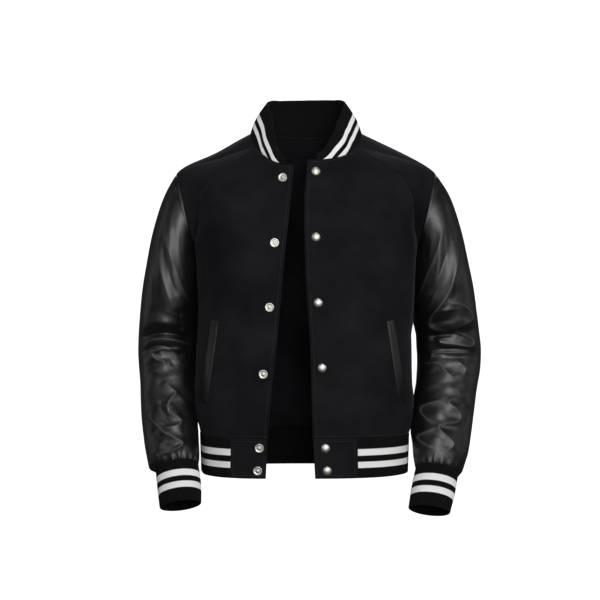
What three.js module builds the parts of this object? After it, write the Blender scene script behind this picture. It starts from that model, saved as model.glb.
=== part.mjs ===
// Varsity jacket, worn and open down the front, in millimetres.
// +Z is up, -Y is the front, +X is the wearer's left. The origin lies midway
// between the two neck points, where the shoulders carry the jacket.
import * as THREE from 'three';

// Wall thickness of each cloth, measured inward from the outer face
const WOOL_WALL = 2.4;
const LEATHER_WALL = 1.6;
const RIB_WALL = 2.8;
// Half of the 0.3 mm gap left between two pieces at a seam
const HALF_SEAM = 0.15;
// The same round the armhole, where the cloth bends sharply
const ARMHOLE_HALF_SEAM = 0.28;

// Levels of the body
const HEM_SEAM_Z = -546;
const HEM_BOTTOM_Z = -617;
// Sideways shift of the whole lower body, reached at the hem
const HEM_SWAY = -3.5;
const SWAY_START_Z = -300;

// Columns and rows of the walls
const FRONT_COLUMNS = 12;
const BACK_COLUMNS = 20;
const RAGLAN_ROWS = 12;
const SHOULDER_COLUMNS = 4;
const HEM_TAB_WIDTH = { left: 80, right: 68 };

// Knit ribs raised on the outer face of collar, cuffs and hem
const RIB_PITCH = 5.4;
const RIB_RAISE = 0.8;

// Snaps
const SNAP_LIFT = 0.35;
const SNAP_SIDES = 14;

// Pocket welts
const WELT_WIDTH = 16;
const WELT_WALL = 1.6;
const WELT_LIFT = 0.6;

const WELT_ROWS = 14;
const WELT_COLUMNS = 3;
// Share of the welt's width seen from the front, and its slant at the ends
const WELT_FORESHORTEN = 0.86;
const WELT_TILT = 0.35;
const WELT_ENDS = {
  left: { topX: 150, topZ: -337, bottomX: 174, bottomZ: -488 },
  right: { topX: -163, topZ: -336, bottomX: -184, bottomZ: -484 },
};

// Snap centres from the neck down, and the profiles of cap and stud as radius and height
const SNAPS_ON_BODY = 4;
const SNAP_PLACES = [
  { capX: 17, capZ: -73, studX: -42, studZ: -84 },
  { capX: 17, capZ: -190, studX: -56, studZ: -200 },
  { capX: 21, capZ: -306, studX: -65, studZ: -314 },
  { capX: 28, capZ: -421, studX: -76, studZ: -432 },
  { capX: 34, capZ: -563, studX: -83, studZ: -563 },
  { capX: 37, capZ: -603, studX: -86, studZ: -603 },
];
const CAP_PROFILE = [[0, 0], [8, 0], [8, 1.3], [6.6, 2.4], [3.6, 3.2], [0, 3.4]];
const STUD_PROFILE = [[0, 0], [8, 0], [8, 1.3], [5, 1.3], [3.6, 0.7], [2.7, 3], [0, 3.3]];
// Steps, nudge and easing of the search for a place on a panel
const PLACE_STEPS = 60;
const PLACE_NUDGE = 0.02;
const PLACE_EASE = 0.6;

// Hem band: how much it draws in toward the bottom and how far its front edges slant
const HEM_DRAW_IN = 0.012;
const HEM_FRONT_SLANT = 4.3;
const HEM_SLANT_REACH = 190;
const HEM_TAB_COLUMNS = 7;
const HEM_TAB_WALL = 3;

// Cuff ribs round the wrist, and the ring step that leaves the seam gap
const CUFF_RIBS = 44;
const CUFF_SEAM_STEP = 0.0045;
// The plain inside of a knit band has one column for this many on the outside
const RIB_INNER_STEP = 8;

// Cloth colours and surfaces
const WOOL = { color: 0x141417, roughness: 0.95, metalness: 0 };
const LEATHER = { color: 0x17171a, roughness: 0.45, metalness: 0 };
const RIB = { color: 0x111112, roughness: 0.9, metalness: 0 };
const SNAP_METAL = { color: 0xc9c6bf, roughness: 0.25, metalness: 1 };

const SIDES = [
  { name: 'left', sign: 1 },
  { name: 'right', sign: -1 },
];

// A table is a list of named columns and a list of rows.
function table(columns, rows) {
  return rows.map((row) => Object.fromEntries(columns.map((name, k) => [name, row[k]])));
}

// Smooth value of one column at row position t, which need not be whole
function columnAt(rows, name, t) {
  const last = rows.length - 1;
  const k = Math.min(Math.max(Math.floor(t), 0), last - 1);
  const f = t - k;
  const p1 = rows[k][name];
  const p2 = rows[k + 1][name];
  const p0 = k > 0 ? rows[k - 1][name] : 2 * p1 - p2;
  const p3 = k + 2 <= last ? rows[k + 2][name] : 2 * p2 - p1;
  const bend = 2 * p0 - 5 * p1 + 4 * p2 - p3;
  const twist = 3 * (p1 - p2) + p3 - p0;
  return p1 + 0.5 * f * (p2 - p0 + f * (bend + f * twist));
}

// Straight-line lookup of one column against another that rises or falls steadily
function lookUp(rows, key, name, value) {
  const rising = rows[rows.length - 1][key] > rows[0][key];
  let k = 0;
  while (k < rows.length - 2 && (rising ? value > rows[k + 1][key] : value < rows[k + 1][key])) {
    k += 1;
  }
  const f = (value - rows[k][key]) / (rows[k + 1][key] - rows[k][key]);
  return rows[k][name] + (rows[k + 1][name] - rows[k][name]) * Math.min(Math.max(f, 0), 1);
}

// Direction from two angles in degrees: turn goes from outward toward the back, rise is upward
function heading(turn, rise) {
  const t = THREE.MathUtils.degToRad(turn);
  const r = THREE.MathUtils.degToRad(rise);
  return new THREE.Vector3(Math.cos(t) * Math.cos(r), Math.sin(t) * Math.cos(r), Math.sin(r));
}

function bezier(p0, p1, p2, p3, u) {
  const w = 1 - u;
  return new THREE.Vector3()
    .addScaledVector(p0, w * w * w)
    .addScaledVector(p1, 3 * w * w * u)
    .addScaledVector(p2, 3 * w * u * u)
    .addScaledVector(p3, u * u * u);
}

// Curve between two points that leaves and arrives along given headings
function span(start, startWay, startReach, end, endWay, endReach, u) {
  const chord = start.distanceTo(end);
  const p1 = start.clone().addScaledVector(startWay, startReach * chord);
  const p2 = end.clone().addScaledVector(endWay, -endReach * chord);
  return bezier(start, p1, p2, end, u);
}

function smoothStep(f) {
  const c = Math.min(Math.max(f, 0), 1);
  return c * c * (3 - 2 * c);
}

function sway(point) {
  const f = (SWAY_START_Z - point.z) / (SWAY_START_Z - HEM_SEAM_Z);
  point.x += HEM_SWAY * smoothStep(f);
  return point;
}

// Front edges of the two front panels, from the neck down
const FRONT_EDGE = table(['z', 'left', 'right', 'y'], [
  [-51, 3, 20, -109],
  [-64, 1.5, 22, -111],
  [-117, -3, 27, -117],
  [-164, -3.5, 31.5, -120],
  [-211, -3, 37, -122],
  [-283, 0, 43.5, -124],
  [-380, 7.5, 51.5, -125],
  [-444, 11, 57, -125],
  [-497, 13, 61, -123],
  [-546, 15, 64.5, -121],
  [-617, 19.5, 68.5, -119],
]);
const NECK_CORNER_Z = { left: -52, right: -61 };

// Rows of a front panel. out: the raglan seam, then the side seam. turn, rise and reach
// shape the row where it leaves the front edge (In) and where it meets the seam (Out).
const FRONT = table(
  ['outX', 'outY', 'outZ', 'turnOut', 'riseOut', 'reachOut', 'turnIn', 'riseIn', 'reachIn', 'down'],
  [
    [91, -46, -22, 62, 32, 0.40, 6, 3, 0.36, 0.000],
    [108, -68, -38, 44, 24, 0.34, 2, 6, 0.38, 0.052],
    [136, -84, -58, 30, 18, 0.32, 0, 8, 0.40, 0.114],
    [160, -90, -75, 26, 14, 0.30, -2, 9, 0.42, 0.162],
    [178, -88, -93, 34, 12, 0.30, -2, 9, 0.44, 0.204],
    [190, -80, -112, 50, 10, 0.30, -2, 9, 0.46, 0.243],
    [195.5, -65, -138, 70, 8, 0.29, -2, 9, 0.48, 0.292],
    [197, -45, -168, 84, 5, 0.29, -2, 8, 0.50, 0.351],
    [198, -22, -190, 88, 3, 0.35, -2, 7, 0.51, 0.400],
    [197, 0, -205, 90, 0, 0.42, -1, 6, 0.52, 0.445],
    [196, 0, -240, 90, 0, 0.42, 0, 5, 0.53, 0.503],
    [193.5, 0, -300, 90, 0, 0.40, 0, 3, 0.53, 0.600],
    [193, 0, -345, 90, 0, 0.39, 0, 3, 0.53, 0.674],
    [196, 0, -390, 90, 0, 0.37, 0, 2, 0.53, 0.747],
    [197.5, 0, -430, 90, 0, 0.37, 0, 1, 0.53, 0.812],
    [199, 0, -468, 90, 0, 0.38, 0, 0, 0.53, 0.869],
    [197.5, 0, -512, 90, 0, 0.38, 0, 0, 0.53, 0.942],
    [192, 0, -546, 90, 0, 0.37, 0, 0, 0.53, 1.000],
  ],
);

// Rows of the back panel: in is the centre back, out as on the front panel
const BACK = table(
  ['outX', 'outY', 'outZ', 'turnOut', 'riseOut', 'reachOut', 'inY', 'inZ', 'reachIn'],
  [
    [76, 62, 13, -34, 1, 0.34, 82, 10, 0.36],
    [98, 76, -6, -34, 8, 0.32, 92, -14, 0.38],
    [122, 86, -32, -30, 12, 0.32, 101, -44, 0.40],
    [146, 91, -57, -26, 12, 0.30, 108, -74, 0.42],
    [168, 91, -82, -30, 10, 0.30, 113, -103, 0.44],
    [187, 84, -110, -46, 8, 0.30, 117, -132, 0.46],
    [195.5, 67, -138, -70, 6, 0.29, 120, -160, 0.48],
    [197, 46, -168, -84, 4, 0.29, 122, -188, 0.50],
    [198, 22, -190, -88, 2, 0.35, 123, -211, 0.51],
    [197, 0, -205, -90, 0, 0.42, 123, -232, 0.52],
    [196, 0, -240, -90, 0, 0.42, 123, -268, 0.53],
    [193.5, 0, -300, -90, 0, 0.40, 121, -320, 0.53],
    [193, 0, -345, -90, 0, 0.39, 120, -360, 0.53],
    [196, 0, -390, -90, 0, 0.37, 121, -399, 0.53],
    [197.5, 0, -430, -90, 0, 0.37, 123, -434, 0.53],
    [199, 0, -468, -90, 0, 0.38, 124, -469, 0.53],
    [197.5, 0, -512, -90, 0, 0.38, 122, -512, 0.53],
    [192, 0, -546, -90, 0, 0.37, 117, -546, 0.53],
  ],
);
const UNDERARM_ROW = 9;
const HEM_ROW = FRONT.length - 1;

// Soft drape of the wool: ridges and troughs drawn over the panels.
// row and across give each end; raise is outward, width is across the fold.
const DRAPE_COLUMNS = ['row1', 'across1', 'row2', 'across2', 'raise', 'width'];
const FRONT_DRAPE = table(DRAPE_COLUMNS, [
  [8.5, 0.86, 12.0, 0.42, -3.0, 16],
  [9.5, 0.92, 14.0, 0.62, 3.0, 16],
  [5.0, 0.30, 11.0, 0.16, 2.5, 18],
  [12.5, 0.30, 16.0, 0.26, -3.0, 16],
  [13.0, 0.52, 16.3, 0.46, 3.0, 16],
  [14.2, 0.80, 16.2, 0.55, -2.5, 13],
]);
const BACK_DRAPE = table(DRAPE_COLUMNS, [
  [8.0, 0.84, 12.5, 0.40, -3.5, 18],
  [9.5, 0.90, 14.5, 0.55, 3.5, 18],
  [3.0, 0.42, 8.0, 0.50, -2.5, 20],
  [11.0, 0.10, 16.0, 0.20, -3.0, 20],
  [13.0, 0.36, 16.4, 0.40, 3.5, 18],
  [14.5, 0.72, 16.2, 0.60, -3.0, 14],
]);

// Height of a set of folds at a place; metric gives millimetres per row and per unit across
function foldHeight(folds, row, across, mmPerRow, mmAcross) {
  let height = 0;
  for (const fold of folds) {
    const ax = fold.across1 * mmAcross;
    const ay = fold.row1 * mmPerRow;
    const dx = fold.across2 * mmAcross - ax;
    const dy = fold.row2 * mmPerRow - ay;
    const px = across * mmAcross - ax;
    const py = row * mmPerRow - ay;
    const along = (px * dx + py * dy) / (dx * dx + dy * dy);
    const near = Math.min(Math.max(along, 0), 1);
    const away = Math.hypot(px - near * dx, py - near * dy) / fold.width;
    const fade = 0.35 + 0.65 * Math.sin(Math.PI * Math.min(Math.max(near, 0.08), 0.92));
    height += fold.raise * fade * Math.exp(-away * away);
  }
  return height;
}

const PANEL_MM_PER_ROW = 33;
const PANEL_MM_ACROSS = 210;

// Fade of the drape toward the edges of a panel
function quietAtEdges(row, across) {
  const sides = smoothStep(across / 0.16) * smoothStep((1 - across) / 0.16);
  return sides * smoothStep(row / 2) * smoothStep((HEM_ROW - row) / 1.2);
}

// Outer point of a half panel at row position v and share u from the middle to the seam
function frontPoint(side, v, u) {
  const at = (name) => columnAt(FRONT, name, v);
  const topZ = NECK_CORNER_Z[side.name];
  const startZ = topZ + at('down') * (HEM_SEAM_Z - topZ);
  const edge = lookUp(FRONT_EDGE, 'z', side.name, startZ);
  const start = new THREE.Vector3(edge, lookUp(FRONT_EDGE, 'z', 'y', startZ), startZ);
  const end = new THREE.Vector3(at('outX'), at('outY'), at('outZ'));
  const startWay = heading(at('turnIn'), at('riseIn'));
  const endWay = heading(at('turnOut'), at('riseOut'));
  const point = span(start, startWay, at('reachIn'), end, endWay, at('reachOut'), u);
  point.y -= foldHeight(FRONT_DRAPE, v, u, PANEL_MM_PER_ROW, PANEL_MM_ACROSS) * quietAtEdges(v, u);
  point.x *= side.sign;
  return sway(point);
}

function backPoint(side, v, u) {
  const at = (name) => columnAt(BACK, name, v);
  const start = new THREE.Vector3(0, at('inY'), at('inZ'));
  const end = new THREE.Vector3(at('outX'), at('outY'), at('outZ'));
  const endWay = heading(at('turnOut'), at('riseOut'));
  const point = span(start, heading(0, 0), at('reachIn'), end, endWay, at('reachOut'), u);
  const quiet = quietAtEdges(v, 0.5 + 0.5 * u);
  point.y += foldHeight(BACK_DRAPE, v, u, PANEL_MM_PER_ROW, PANEL_MM_ACROSS) * quiet;
  point.x *= side.sign;
  return sway(point);
}

// Row positions shared by fronts and back: even steps down the raglan, then the table rows
function panelRows() {
  const rows = [];
  for (let k = 0; k <= RAGLAN_ROWS; k += 1) {
    rows.push((UNDERARM_ROW * k) / RAGLAN_ROWS);
  }
  for (let v = UNDERARM_ROW + 1; v <= HEM_ROW; v += 1) {
    rows.push(v);
  }
  return rows;
}

function frontGrid(side) {
  return panelRows().map((v) => {
    const row = [];
    for (let j = 0; j <= FRONT_COLUMNS; j += 1) {
      row.push(frontPoint(side, v, j / FRONT_COLUMNS));
    }
    return row;
  });
}

function backGrid() {
  return panelRows().map((v) => {
    const row = [];
    const half = BACK_COLUMNS / 2;
    for (let j = -half; j <= half; j += 1) {
      row.push(backPoint(j < 0 ? SIDES[1] : SIDES[0], v, Math.abs(j) / half));
    }
    return row;
  });
}

// Rings of a sleeve for the wearer's left. tilt turns the ring's long axis up from
// outward, pitch tips it forward, half and deep are its two half widths. The right
// columns are added for the wearer's right sleeve.
const SLEEVE = table(
  ['x', 'y', 'z', 'tilt', 'half', 'deep', 'pitch', 'rightX', 'rightZ', 'rightHalf'],
  [
    [222.5, 2, -137.5, 75, 70.5, 66, 0, 0, 0, 0],
    [234.5, 1, -170.5, 63, 68.6, 68, 0, -2, 0, -2],
    [244.5, 1, -215, 48.7, 62.5, 69, 0, -2.5, 0, -2.5],
    [251, 2, -258.5, 33, 57.6, 69, 0, -3, 0, -3],
    [257.2, 4, -302, 16.3, 56.4, 68, 0, -4, 0, -4],
    [261, 9, -344, 6, 57, 66, 3, -4.5, 0, -4.5],
    [263.5, 14, -384, 0, 58.5, 63, 9, -5, 0, -5],
    [263, 13, -423, -1, 57, 60, 16, -5, 0, -4.5],
    [256.5, -4, -464, -2, 54, 57, 21, -2, 1, -3.5],
    [250.5, -24, -507, -4, 52, 54, 24, 0.5, 3, -2.5],
    [243, -47, -550, -6, 50.5, 50, 26, 0, 5, -2],
    [238, -68, -586, -7, 45.5, 45, 26, -2, 7, -1],
    [235, -78, -606, -8, 39.5, 39, 26, -3, 7, 0],
  ],
);
const CUFF_SEAM_RING = SLEEVE.length - 1;
const ARMHOLE_BOW = 4;

// Rings of a cuff, from the sleeve seam to the wrist opening
const CUFF = table(['x', 'y', 'z', 'tilt', 'half', 'deep', 'pitch', 'rightX', 'rightZ', 'rightHalf'], [
  [235, -78, -606, -8, 38, 38, 26, -3, 7, 0],
  [226.5, -93, -641, -8, 38.5, 38.5, 24, 0, 7.5, 0],
  [218, -107, -675, -8, 36.5, 36.5, 22, 5, 9, 0],
]);

// Point of a ring table at ring position v and angle psi: 0 is outward and up the
// shoulder, 90 the front, 180 the underarm
function ringPoint(rows, side, v, psi, grow) {
  const at = (name) => columnAt(rows, name, v);
  const right = side.sign < 0 ? 1 : 0;
  const tilt = THREE.MathUtils.degToRad(at('tilt'));
  const pitch = THREE.MathUtils.degToRad(at('pitch'));
  const angle = THREE.MathUtils.degToRad(psi);
  const half = at('half') + right * at('rightHalf') + grow;
  const deep = at('deep') + grow;
  const point = new THREE.Vector3(at('x') + right * at('rightX'), at('y'), at('z') + right * at('rightZ'));
  const longAxis = new THREE.Vector3(Math.cos(tilt), 0, Math.sin(tilt));
  const deepAxis = new THREE.Vector3(0, -Math.cos(pitch), Math.sin(pitch));
  point.addScaledVector(longAxis, half * Math.cos(angle));
  point.addScaledVector(deepAxis, deep * Math.sin(angle));
  point.x *= side.sign;
  return point;
}

// Folds of the leather, front ones as seen, those at the back alike.
// ring and angle give each end, raise is outward, width is across the fold.
const SLEEVE_FOLD_COLUMNS = ['row1', 'across1', 'row2', 'across2', 'raise', 'width'];
const SLEEVE_FOLDS = {
  left: table(SLEEVE_FOLD_COLUMNS, [
    [0.9, 75, 3.5, 122, 5, 12],
    [1.6, 50, 4.2, 86, 5, 12],
    [4.2, 86, 4.8, 112, 5, 11],
    [3.8, 78, 5.0, 120, -5, 10],
    [5.25, 112, 5.1, 60, 4.5, 13],
    [4.6, 38, 5.3, 60, 5, 10],
    [5.75, 120, 5.6, 20, -5.5, 13],
    [6.15, 105, 6.3, 25, 4.5, 13],
    [6.7, 145, 6.75, 60, -4.5, 12],
    [7.0, 130, 7.3, 60, 5, 11],
    [7.9, 60, 8.5, 120, -4, 11],
    [8.9, 140, 9.1, 62, 5, 12],
    [9.1, 62, 9.5, 101, 4, 10],
    [10.0, 140, 10.3, 65, 5, 11],
    [9.7, 40, 10.1, 100, -4, 10],
    [2.0, 300, 4.4, 250, 5, 13],
    [5.0, 220, 5.35, 300, 4, 14],
    [5.75, 215, 5.95, 320, -4.5, 14],
    [6.5, 220, 6.75, 310, 4, 14],
    [7.6, 230, 8.2, 290, -4, 12],
    [8.8, 220, 9.3, 300, 5, 12],
    [10.0, 300, 10.3, 230, 4, 11],
  ]),
  right: table(SLEEVE_FOLD_COLUMNS, [
    [0.7, 60, 2.4, 88, 5, 12],
    [2.4, 88, 3.8, 125, 5, 12],
    [1.6, 50, 4.1, 88, 4, 12],
    [4.2, 80, 5.0, 60, -4, 11],
    [5.0, 40, 5.1, 110, 6, 11],
    [5.95, 20, 5.55, 72, -5.5, 13],
    [5.55, 72, 5.85, 150, -5.5, 13],
    [6.1, 110, 6.25, 55, 6, 10],
    [6.25, 55, 6.8, 84, 5, 9],
    [6.8, 84, 7.2, 45, 5, 10],
    [6.5, 150, 6.9, 110, -5, 10],
    [7.6, 50, 7.9, 100, -4, 11],
    [8.0, 90, 8.6, 92, 5, 12],
    [9.0, 84, 9.5, 106, 5, 11],
    [9.1, 38, 9.8, 72, 5, 11],
    [9.8, 72, 10.3, 108, 4, 10],
    [10.3, 108, 10.4, 50, 4, 10],
    [2.0, 300, 4.4, 250, 5, 13],
    [5.0, 220, 5.35, 300, 4, 14],
    [5.75, 215, 5.95, 320, -4.5, 14],
    [6.5, 220, 6.75, 310, 4, 14],
    [7.6, 230, 8.2, 290, -4, 12],
    [8.8, 220, 9.3, 300, 5, 12],
    [10.0, 300, 10.3, 230, 4, 11],
  ]),
};
const SLEEVE_MM_PER_ROW = 41;
const SLEEVE_MM_PER_DEGREE = 1;
// Gathers where the sleeve is sewn into the cuff
const GATHER_RAISE = 1.6;
const GATHER_START = 11;

// Ring angles of the raglan, shoulder and armhole: one station for each raglan row and
// neck step. way turns and rises give the heading in which the shoulder leaves its seam.
const SHOULDER_FRONT = table(['psi', 'turn', 'rise', 'reachIn', 'reachOut'], [
  [22, 12, -14, 0.34, 0.22],
  [34, 18, -6, 0.34, 0.24],
  [47, 22, 2, 0.34, 0.26],
  [60, 22, 8, 0.34, 0.28],
  [73, 22, 8, 0.34, 0.30],
  [87, 14, 4, 0.34, 0.32],
  [103, 2, 2, 0.34, 0.34],
  [128, 2, 12, 0.36, 0.36],
  [152, 25, 45, 0.45, 0.45],
  [180, 0, 80, 0.70, 0.70],
]);
const SHOULDER_NECK = table(['x', 'y', 'z', 'psi', 'turn', 'rise', 'reachIn', 'reachOut'], [
  [91, -46, -22, 22, 12, -14, 0.34, 0.22],
  [97.5, -27, -8, 15, 8, -20, 0.35, 0.20],
  [101.5, -8, 2, 7, 4, -25, 0.36, 0.18],
  [102.5, 10, 8, 0, 0, -27, 0.36, 0.18],
  [99.5, 28, 12, -7, -3, -26, 0.36, 0.18],
  [90, 46, 14, -14, -8, -23, 0.35, 0.20],
  [76, 62, 13, -22, -12, -18, 0.34, 0.22],
]);
const SHOULDER_BACK = table(['psi', 'turn', 'rise', 'reachIn', 'reachOut'], [
  [-22, -12, -18, 0.34, 0.22],
  [-34, -18, -8, 0.34, 0.24],
  [-47, -22, 2, 0.34, 0.26],
  [-60, -22, 6, 0.34, 0.28],
  [-73, -22, 6, 0.34, 0.30],
  [-87, -14, 4, 0.34, 0.32],
  [-103, -2, 2, 0.34, 0.34],
  [-128, -2, 12, 0.36, 0.36],
  [-152, -25, 45, 0.45, 0.45],
  [-180, 0, 80, 0.70, 0.70],
]);
const NECK_STEPS = 8;

// Top edge of the collar, placed from the neck seam
const COLLAR = table(['share', 'outward', 'back', 'up'], [
  [0.00, 2, 2, 9],
  [0.05, 1, 3, 11],
  [0.11, -6, 6, 18],
  [0.19, -15, 11, 35],
  [0.27, -22, 12, 47],
  [0.34, -30, 14, 56],
  [0.42, -31, 13, 57],
  [0.52, -31, 9, 57],
  [0.62, -29, 5, 58],
  [0.72, -26, 0, 59],
  [0.82, -17, -5, 62],
  [0.91, -8, -9, 65],
  [1.00, 0, -11, 66],
]);
const COLLAR_ROWS = 3;
const COLLAR_BULGE = 2.5;
// Distance along the neck seam from the front corner to the collar's end
const COLLAR_START = { left: 15, right: 15 };

// One station for each line across the shoulder, round from the underarm, up the front
// raglan, over the neck, down the back raglan and back to the underarm
function stations(side) {
  const list = [];
  const take = (rows, v, point) => {
    const at = (name) => columnAt(rows, name, v);
    const way = heading(at('turn'), at('rise'));
    way.x *= side.sign;
    list.push({ point, psi: at('psi'), way, reachIn: at('reachIn'), reachOut: at('reachOut') });
  };
  for (let k = RAGLAN_ROWS; k > 0; k -= 1) {
    const v = (UNDERARM_ROW * k) / RAGLAN_ROWS;
    take(SHOULDER_FRONT, v, frontPoint(side, v, 1));
  }
  for (let k = 0; k < NECK_STEPS; k += 1) {
    const v = ((SHOULDER_NECK.length - 1) * k) / NECK_STEPS;
    const at = (name) => columnAt(SHOULDER_NECK, name, v);
    const point = new THREE.Vector3(side.sign * at('x'), at('y'), at('z'));
    take(SHOULDER_NECK, v, k === 0 ? frontPoint(side, 0, 1) : point);
  }
  for (let k = 0; k < RAGLAN_ROWS; k += 1) {
    const v = (UNDERARM_ROW * k) / RAGLAN_ROWS;
    take(SHOULDER_BACK, v, backPoint(side, v, 1));
  }
  return list;
}

// Outer point of the armhole seam, bowed toward the body between tip and underarm
function armholePoint(side, psi) {
  const point = ringPoint(SLEEVE, side, 0, psi, 0);
  const s = Math.sin(THREE.MathUtils.degToRad(psi));
  point.x -= side.sign * ARMHOLE_BOW * s * s;
  return point;
}

function sleevePoint(side, v, psi, column) {
  if (v === 0) {
    return armholePoint(side, psi);
  }
  const turn = (psi + 360) % 360;
  const folds = SLEEVE_FOLDS[side.name];
  const bodySide = smoothStep((1 + Math.cos(THREE.MathUtils.degToRad(psi))) / 0.5);
  const plain = bodySide * smoothStep((v - 0.3) / 1.4) * smoothStep((CUFF_SEAM_RING - v) / 1.2);
  let grow = foldHeight(folds, v, turn, SLEEVE_MM_PER_ROW, SLEEVE_MM_PER_DEGREE) * plain;
  const gather = smoothStep((v - GATHER_START) / (CUFF_SEAM_RING - GATHER_START));
  grow += GATHER_RAISE * gather * (column % 2 === 0 ? 1 : -1);
  const point = ringPoint(SLEEVE, side, v, psi, grow);
  const s = Math.sin(THREE.MathUtils.degToRad(psi));
  point.x -= side.sign * ARMHOLE_BOW * s * s * Math.max(0, 1 - v);
  return point;
}

// Ring positions of the sleeve's rows, closer together round the elbow
const SLEEVE_ROW_GROUPS = table(['from', 'to', 'steps'], [
  [0, 4, 5],
  [4, 8, 8],
  [8, 12, 7],
]);

function sleeveRows() {
  const rows = [0];
  for (const group of SLEEVE_ROW_GROUPS) {
    for (let k = 1; k <= group.steps; k += 1) {
      rows.push(group.from + ((group.to - group.from) * k) / group.steps);
    }
  }
  return rows;
}

function sleeveGrid(side) {
  const ring = stations(side);
  return sleeveRows().map((v) => ring.map((station, j) => sleevePoint(side, v, station.psi, j)));
}

function shoulderGrid(side) {
  const ring = stations(side);
  const rows = [];
  for (let i = 0; i <= SHOULDER_COLUMNS; i += 1) {
    rows.push(ring.map((station) => {
      const end = armholePoint(side, station.psi);
      const endWay = sleevePoint(side, 0.6, station.psi, 1).sub(end).normalize();
      const u = i / SHOULDER_COLUMNS;
      return span(station.point, station.way, station.reachIn, end, endWay, station.reachOut, u);
    }));
  }
  return rows;
}

// Outward normals of a grid of points, from its quads
function gridNormals(grid, ring) {
  const rows = grid.length;
  const columns = grid[0].length;
  const normals = grid.map((row) => row.map(() => new THREE.Vector3()));
  const lastColumn = ring ? columns : columns - 1;
  for (let i = 0; i + 1 < rows; i += 1) {
    for (let j = 0; j < lastColumn; j += 1) {
      const k = (j + 1) % columns;
      const a = grid[i + 1][k].clone().sub(grid[i][j]);
      const b = grid[i + 1][j].clone().sub(grid[i][k]);
      const n = a.cross(b);
      for (const [r, c] of [[i, j], [i, k], [i + 1, j], [i + 1, k]]) {
        normals[r][c].add(n);
      }
    }
  }
  return normals;
}

// Normals made one long and turned away from the hollow's heart
function faceOutward(grid, normals, heart) {
  let outward = 0;
  grid.forEach((row, i) => row.forEach((p, j) => {
    outward += normals[i][j].dot(p.clone().sub(heart(p)));
  }));
  normals.forEach((row) => row.forEach((n) => n.normalize().multiplyScalar(outward < 0 ? -1 : 1)));
}

// Every cloth grid is registered so that pieces that meet at a seam share their normals
const pieces = [];

function addPiece(name, grid, options) {
  const piece = { name, grid, normals: gridNormals(grid, options.ring), ...options };
  faceOutward(grid, piece.normals, options.heart);
  pieces.push(piece);
  return piece;
}

function shareSeamNormals() {
  const sums = new Map();
  const keyOf = (p) => [p.x, p.y, p.z].map((c) => Math.round(c * 100)).join(',');
  const each = (visit) => {
    for (const piece of pieces.filter((one) => one.sharesSeams)) {
      piece.grid.forEach((row, i) => row.forEach((p, j) => visit(piece, i, j, keyOf(p))));
    }
  };
  each((piece, i, j, key) => {
    sums.set(key, (sums.get(key) ?? new THREE.Vector3()).add(piece.normals[i][j]));
  });
  each((piece, i, j, key) => piece.normals[i][j].copy(sums.get(key)).normalize());
}

// Triangle strip between two lists of vertex numbers that run side by side
function stitch(triangles, first, second, closed) {
  const a = closed ? [...first, first[0]] : first;
  const b = closed ? [...second, second[0]] : second;
  let i = 0;
  let j = 0;
  while (i < a.length - 1 || j < b.length - 1) {
    const nextA = (i + 1) / (a.length - 1);
    const nextB = (j + 1) / (b.length - 1);
    if (i < a.length - 1 && (j === b.length - 1 || nextA <= nextB)) {
      triangles.push([a[i], a[i + 1], b[j]]);
      i += 1;
    } else {
      triangles.push([a[i], b[j + 1], b[j]]);
      j += 1;
    }
  }
}

// Closed wall between an outer grid and an inner grid, which may have fewer columns
function closedWall(outer, inner, ring) {
  const points = [];
  const number = (grid) => grid.map((row) => row.map((p) => points.push(p) - 1));
  const out = number(outer);
  const inn = number(inner);
  const triangles = [];
  for (let i = 0; i + 1 < out.length; i += 1) {
    stitch(triangles, out[i], out[i + 1], ring);
    stitch(triangles, inn[i + 1], inn[i], ring);
  }
  const last = out.length - 1;
  stitch(triangles, inn[0], out[0], ring);
  stitch(triangles, out[last], inn[last], ring);
  if (!ring) {
    const columnOf = (grid, j) => grid.map((row) => row[j < 0 ? row.length - 1 : j]);
    stitch(triangles, columnOf(out, 0), columnOf(inn, 0), false);
    stitch(triangles, columnOf(inn, -1), columnOf(out, -1), false);
  }
  let volume = 0;
  for (const [a, b, c] of triangles) {
    volume += points[a].dot(points[b].clone().cross(points[c])) / 6;
  }
  const order = volume < 0 ? [0, 2, 1] : [0, 1, 2];
  const positions = new Float32Array(points.flatMap((p) => [p.x, p.y, p.z]));
  const geometry = new THREE.BufferGeometry();
  geometry.setAttribute('position', new THREE.BufferAttribute(positions, 3));
  geometry.setIndex(triangles.flatMap((t) => order.map((k) => t[k])));
  geometry.computeVertexNormals();
  return geometry;
}

// Outer grid drawn in by half a seam along every edge, square to the edge
function drawnIn(grid, normals, ring, gap) {
  const result = grid.map((row) => row.map((p) => p.clone()));
  const pull = (i, j, before, after, inside) => {
    const at = ([r, c]) => grid[r][c];
    const across = at(after).clone().sub(at(before)).cross(normals[i][j]).normalize();
    const toward = at(inside).clone().sub(grid[i][j]);
    result[i][j].addScaledVector(across, gap * Math.sign(across.dot(toward)));
  };
  const lastRow = grid.length - 1;
  const lastColumn = grid[0].length - 1;
  const columns = grid[0].length;
  for (let j = 0; j < columns; j += 1) {
    const before = ring ? (j + columns - 1) % columns : Math.max(j - 1, 0);
    const after = ring ? (j + 1) % columns : Math.min(j + 1, lastColumn);
    pull(0, j, [0, before], [0, after], [1, j]);
    pull(lastRow, j, [lastRow, before], [lastRow, after], [lastRow - 1, j]);
  }
  for (let i = 0; !ring && i <= lastRow; i += 1) {
    const before = Math.max(i - 1, 0);
    const after = Math.min(i + 1, lastRow);
    pull(i, 0, [before, 0], [after, 0], [i, 1]);
    pull(i, lastColumn, [before, lastColumn], [after, lastColumn], [i, lastColumn - 1]);
  }
  return result;
}

function inset(grid, normals, thickness) {
  return grid.map((row, i) => row.map((p, j) => p.clone().addScaledVector(normals[i][j], -thickness)));
}

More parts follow.
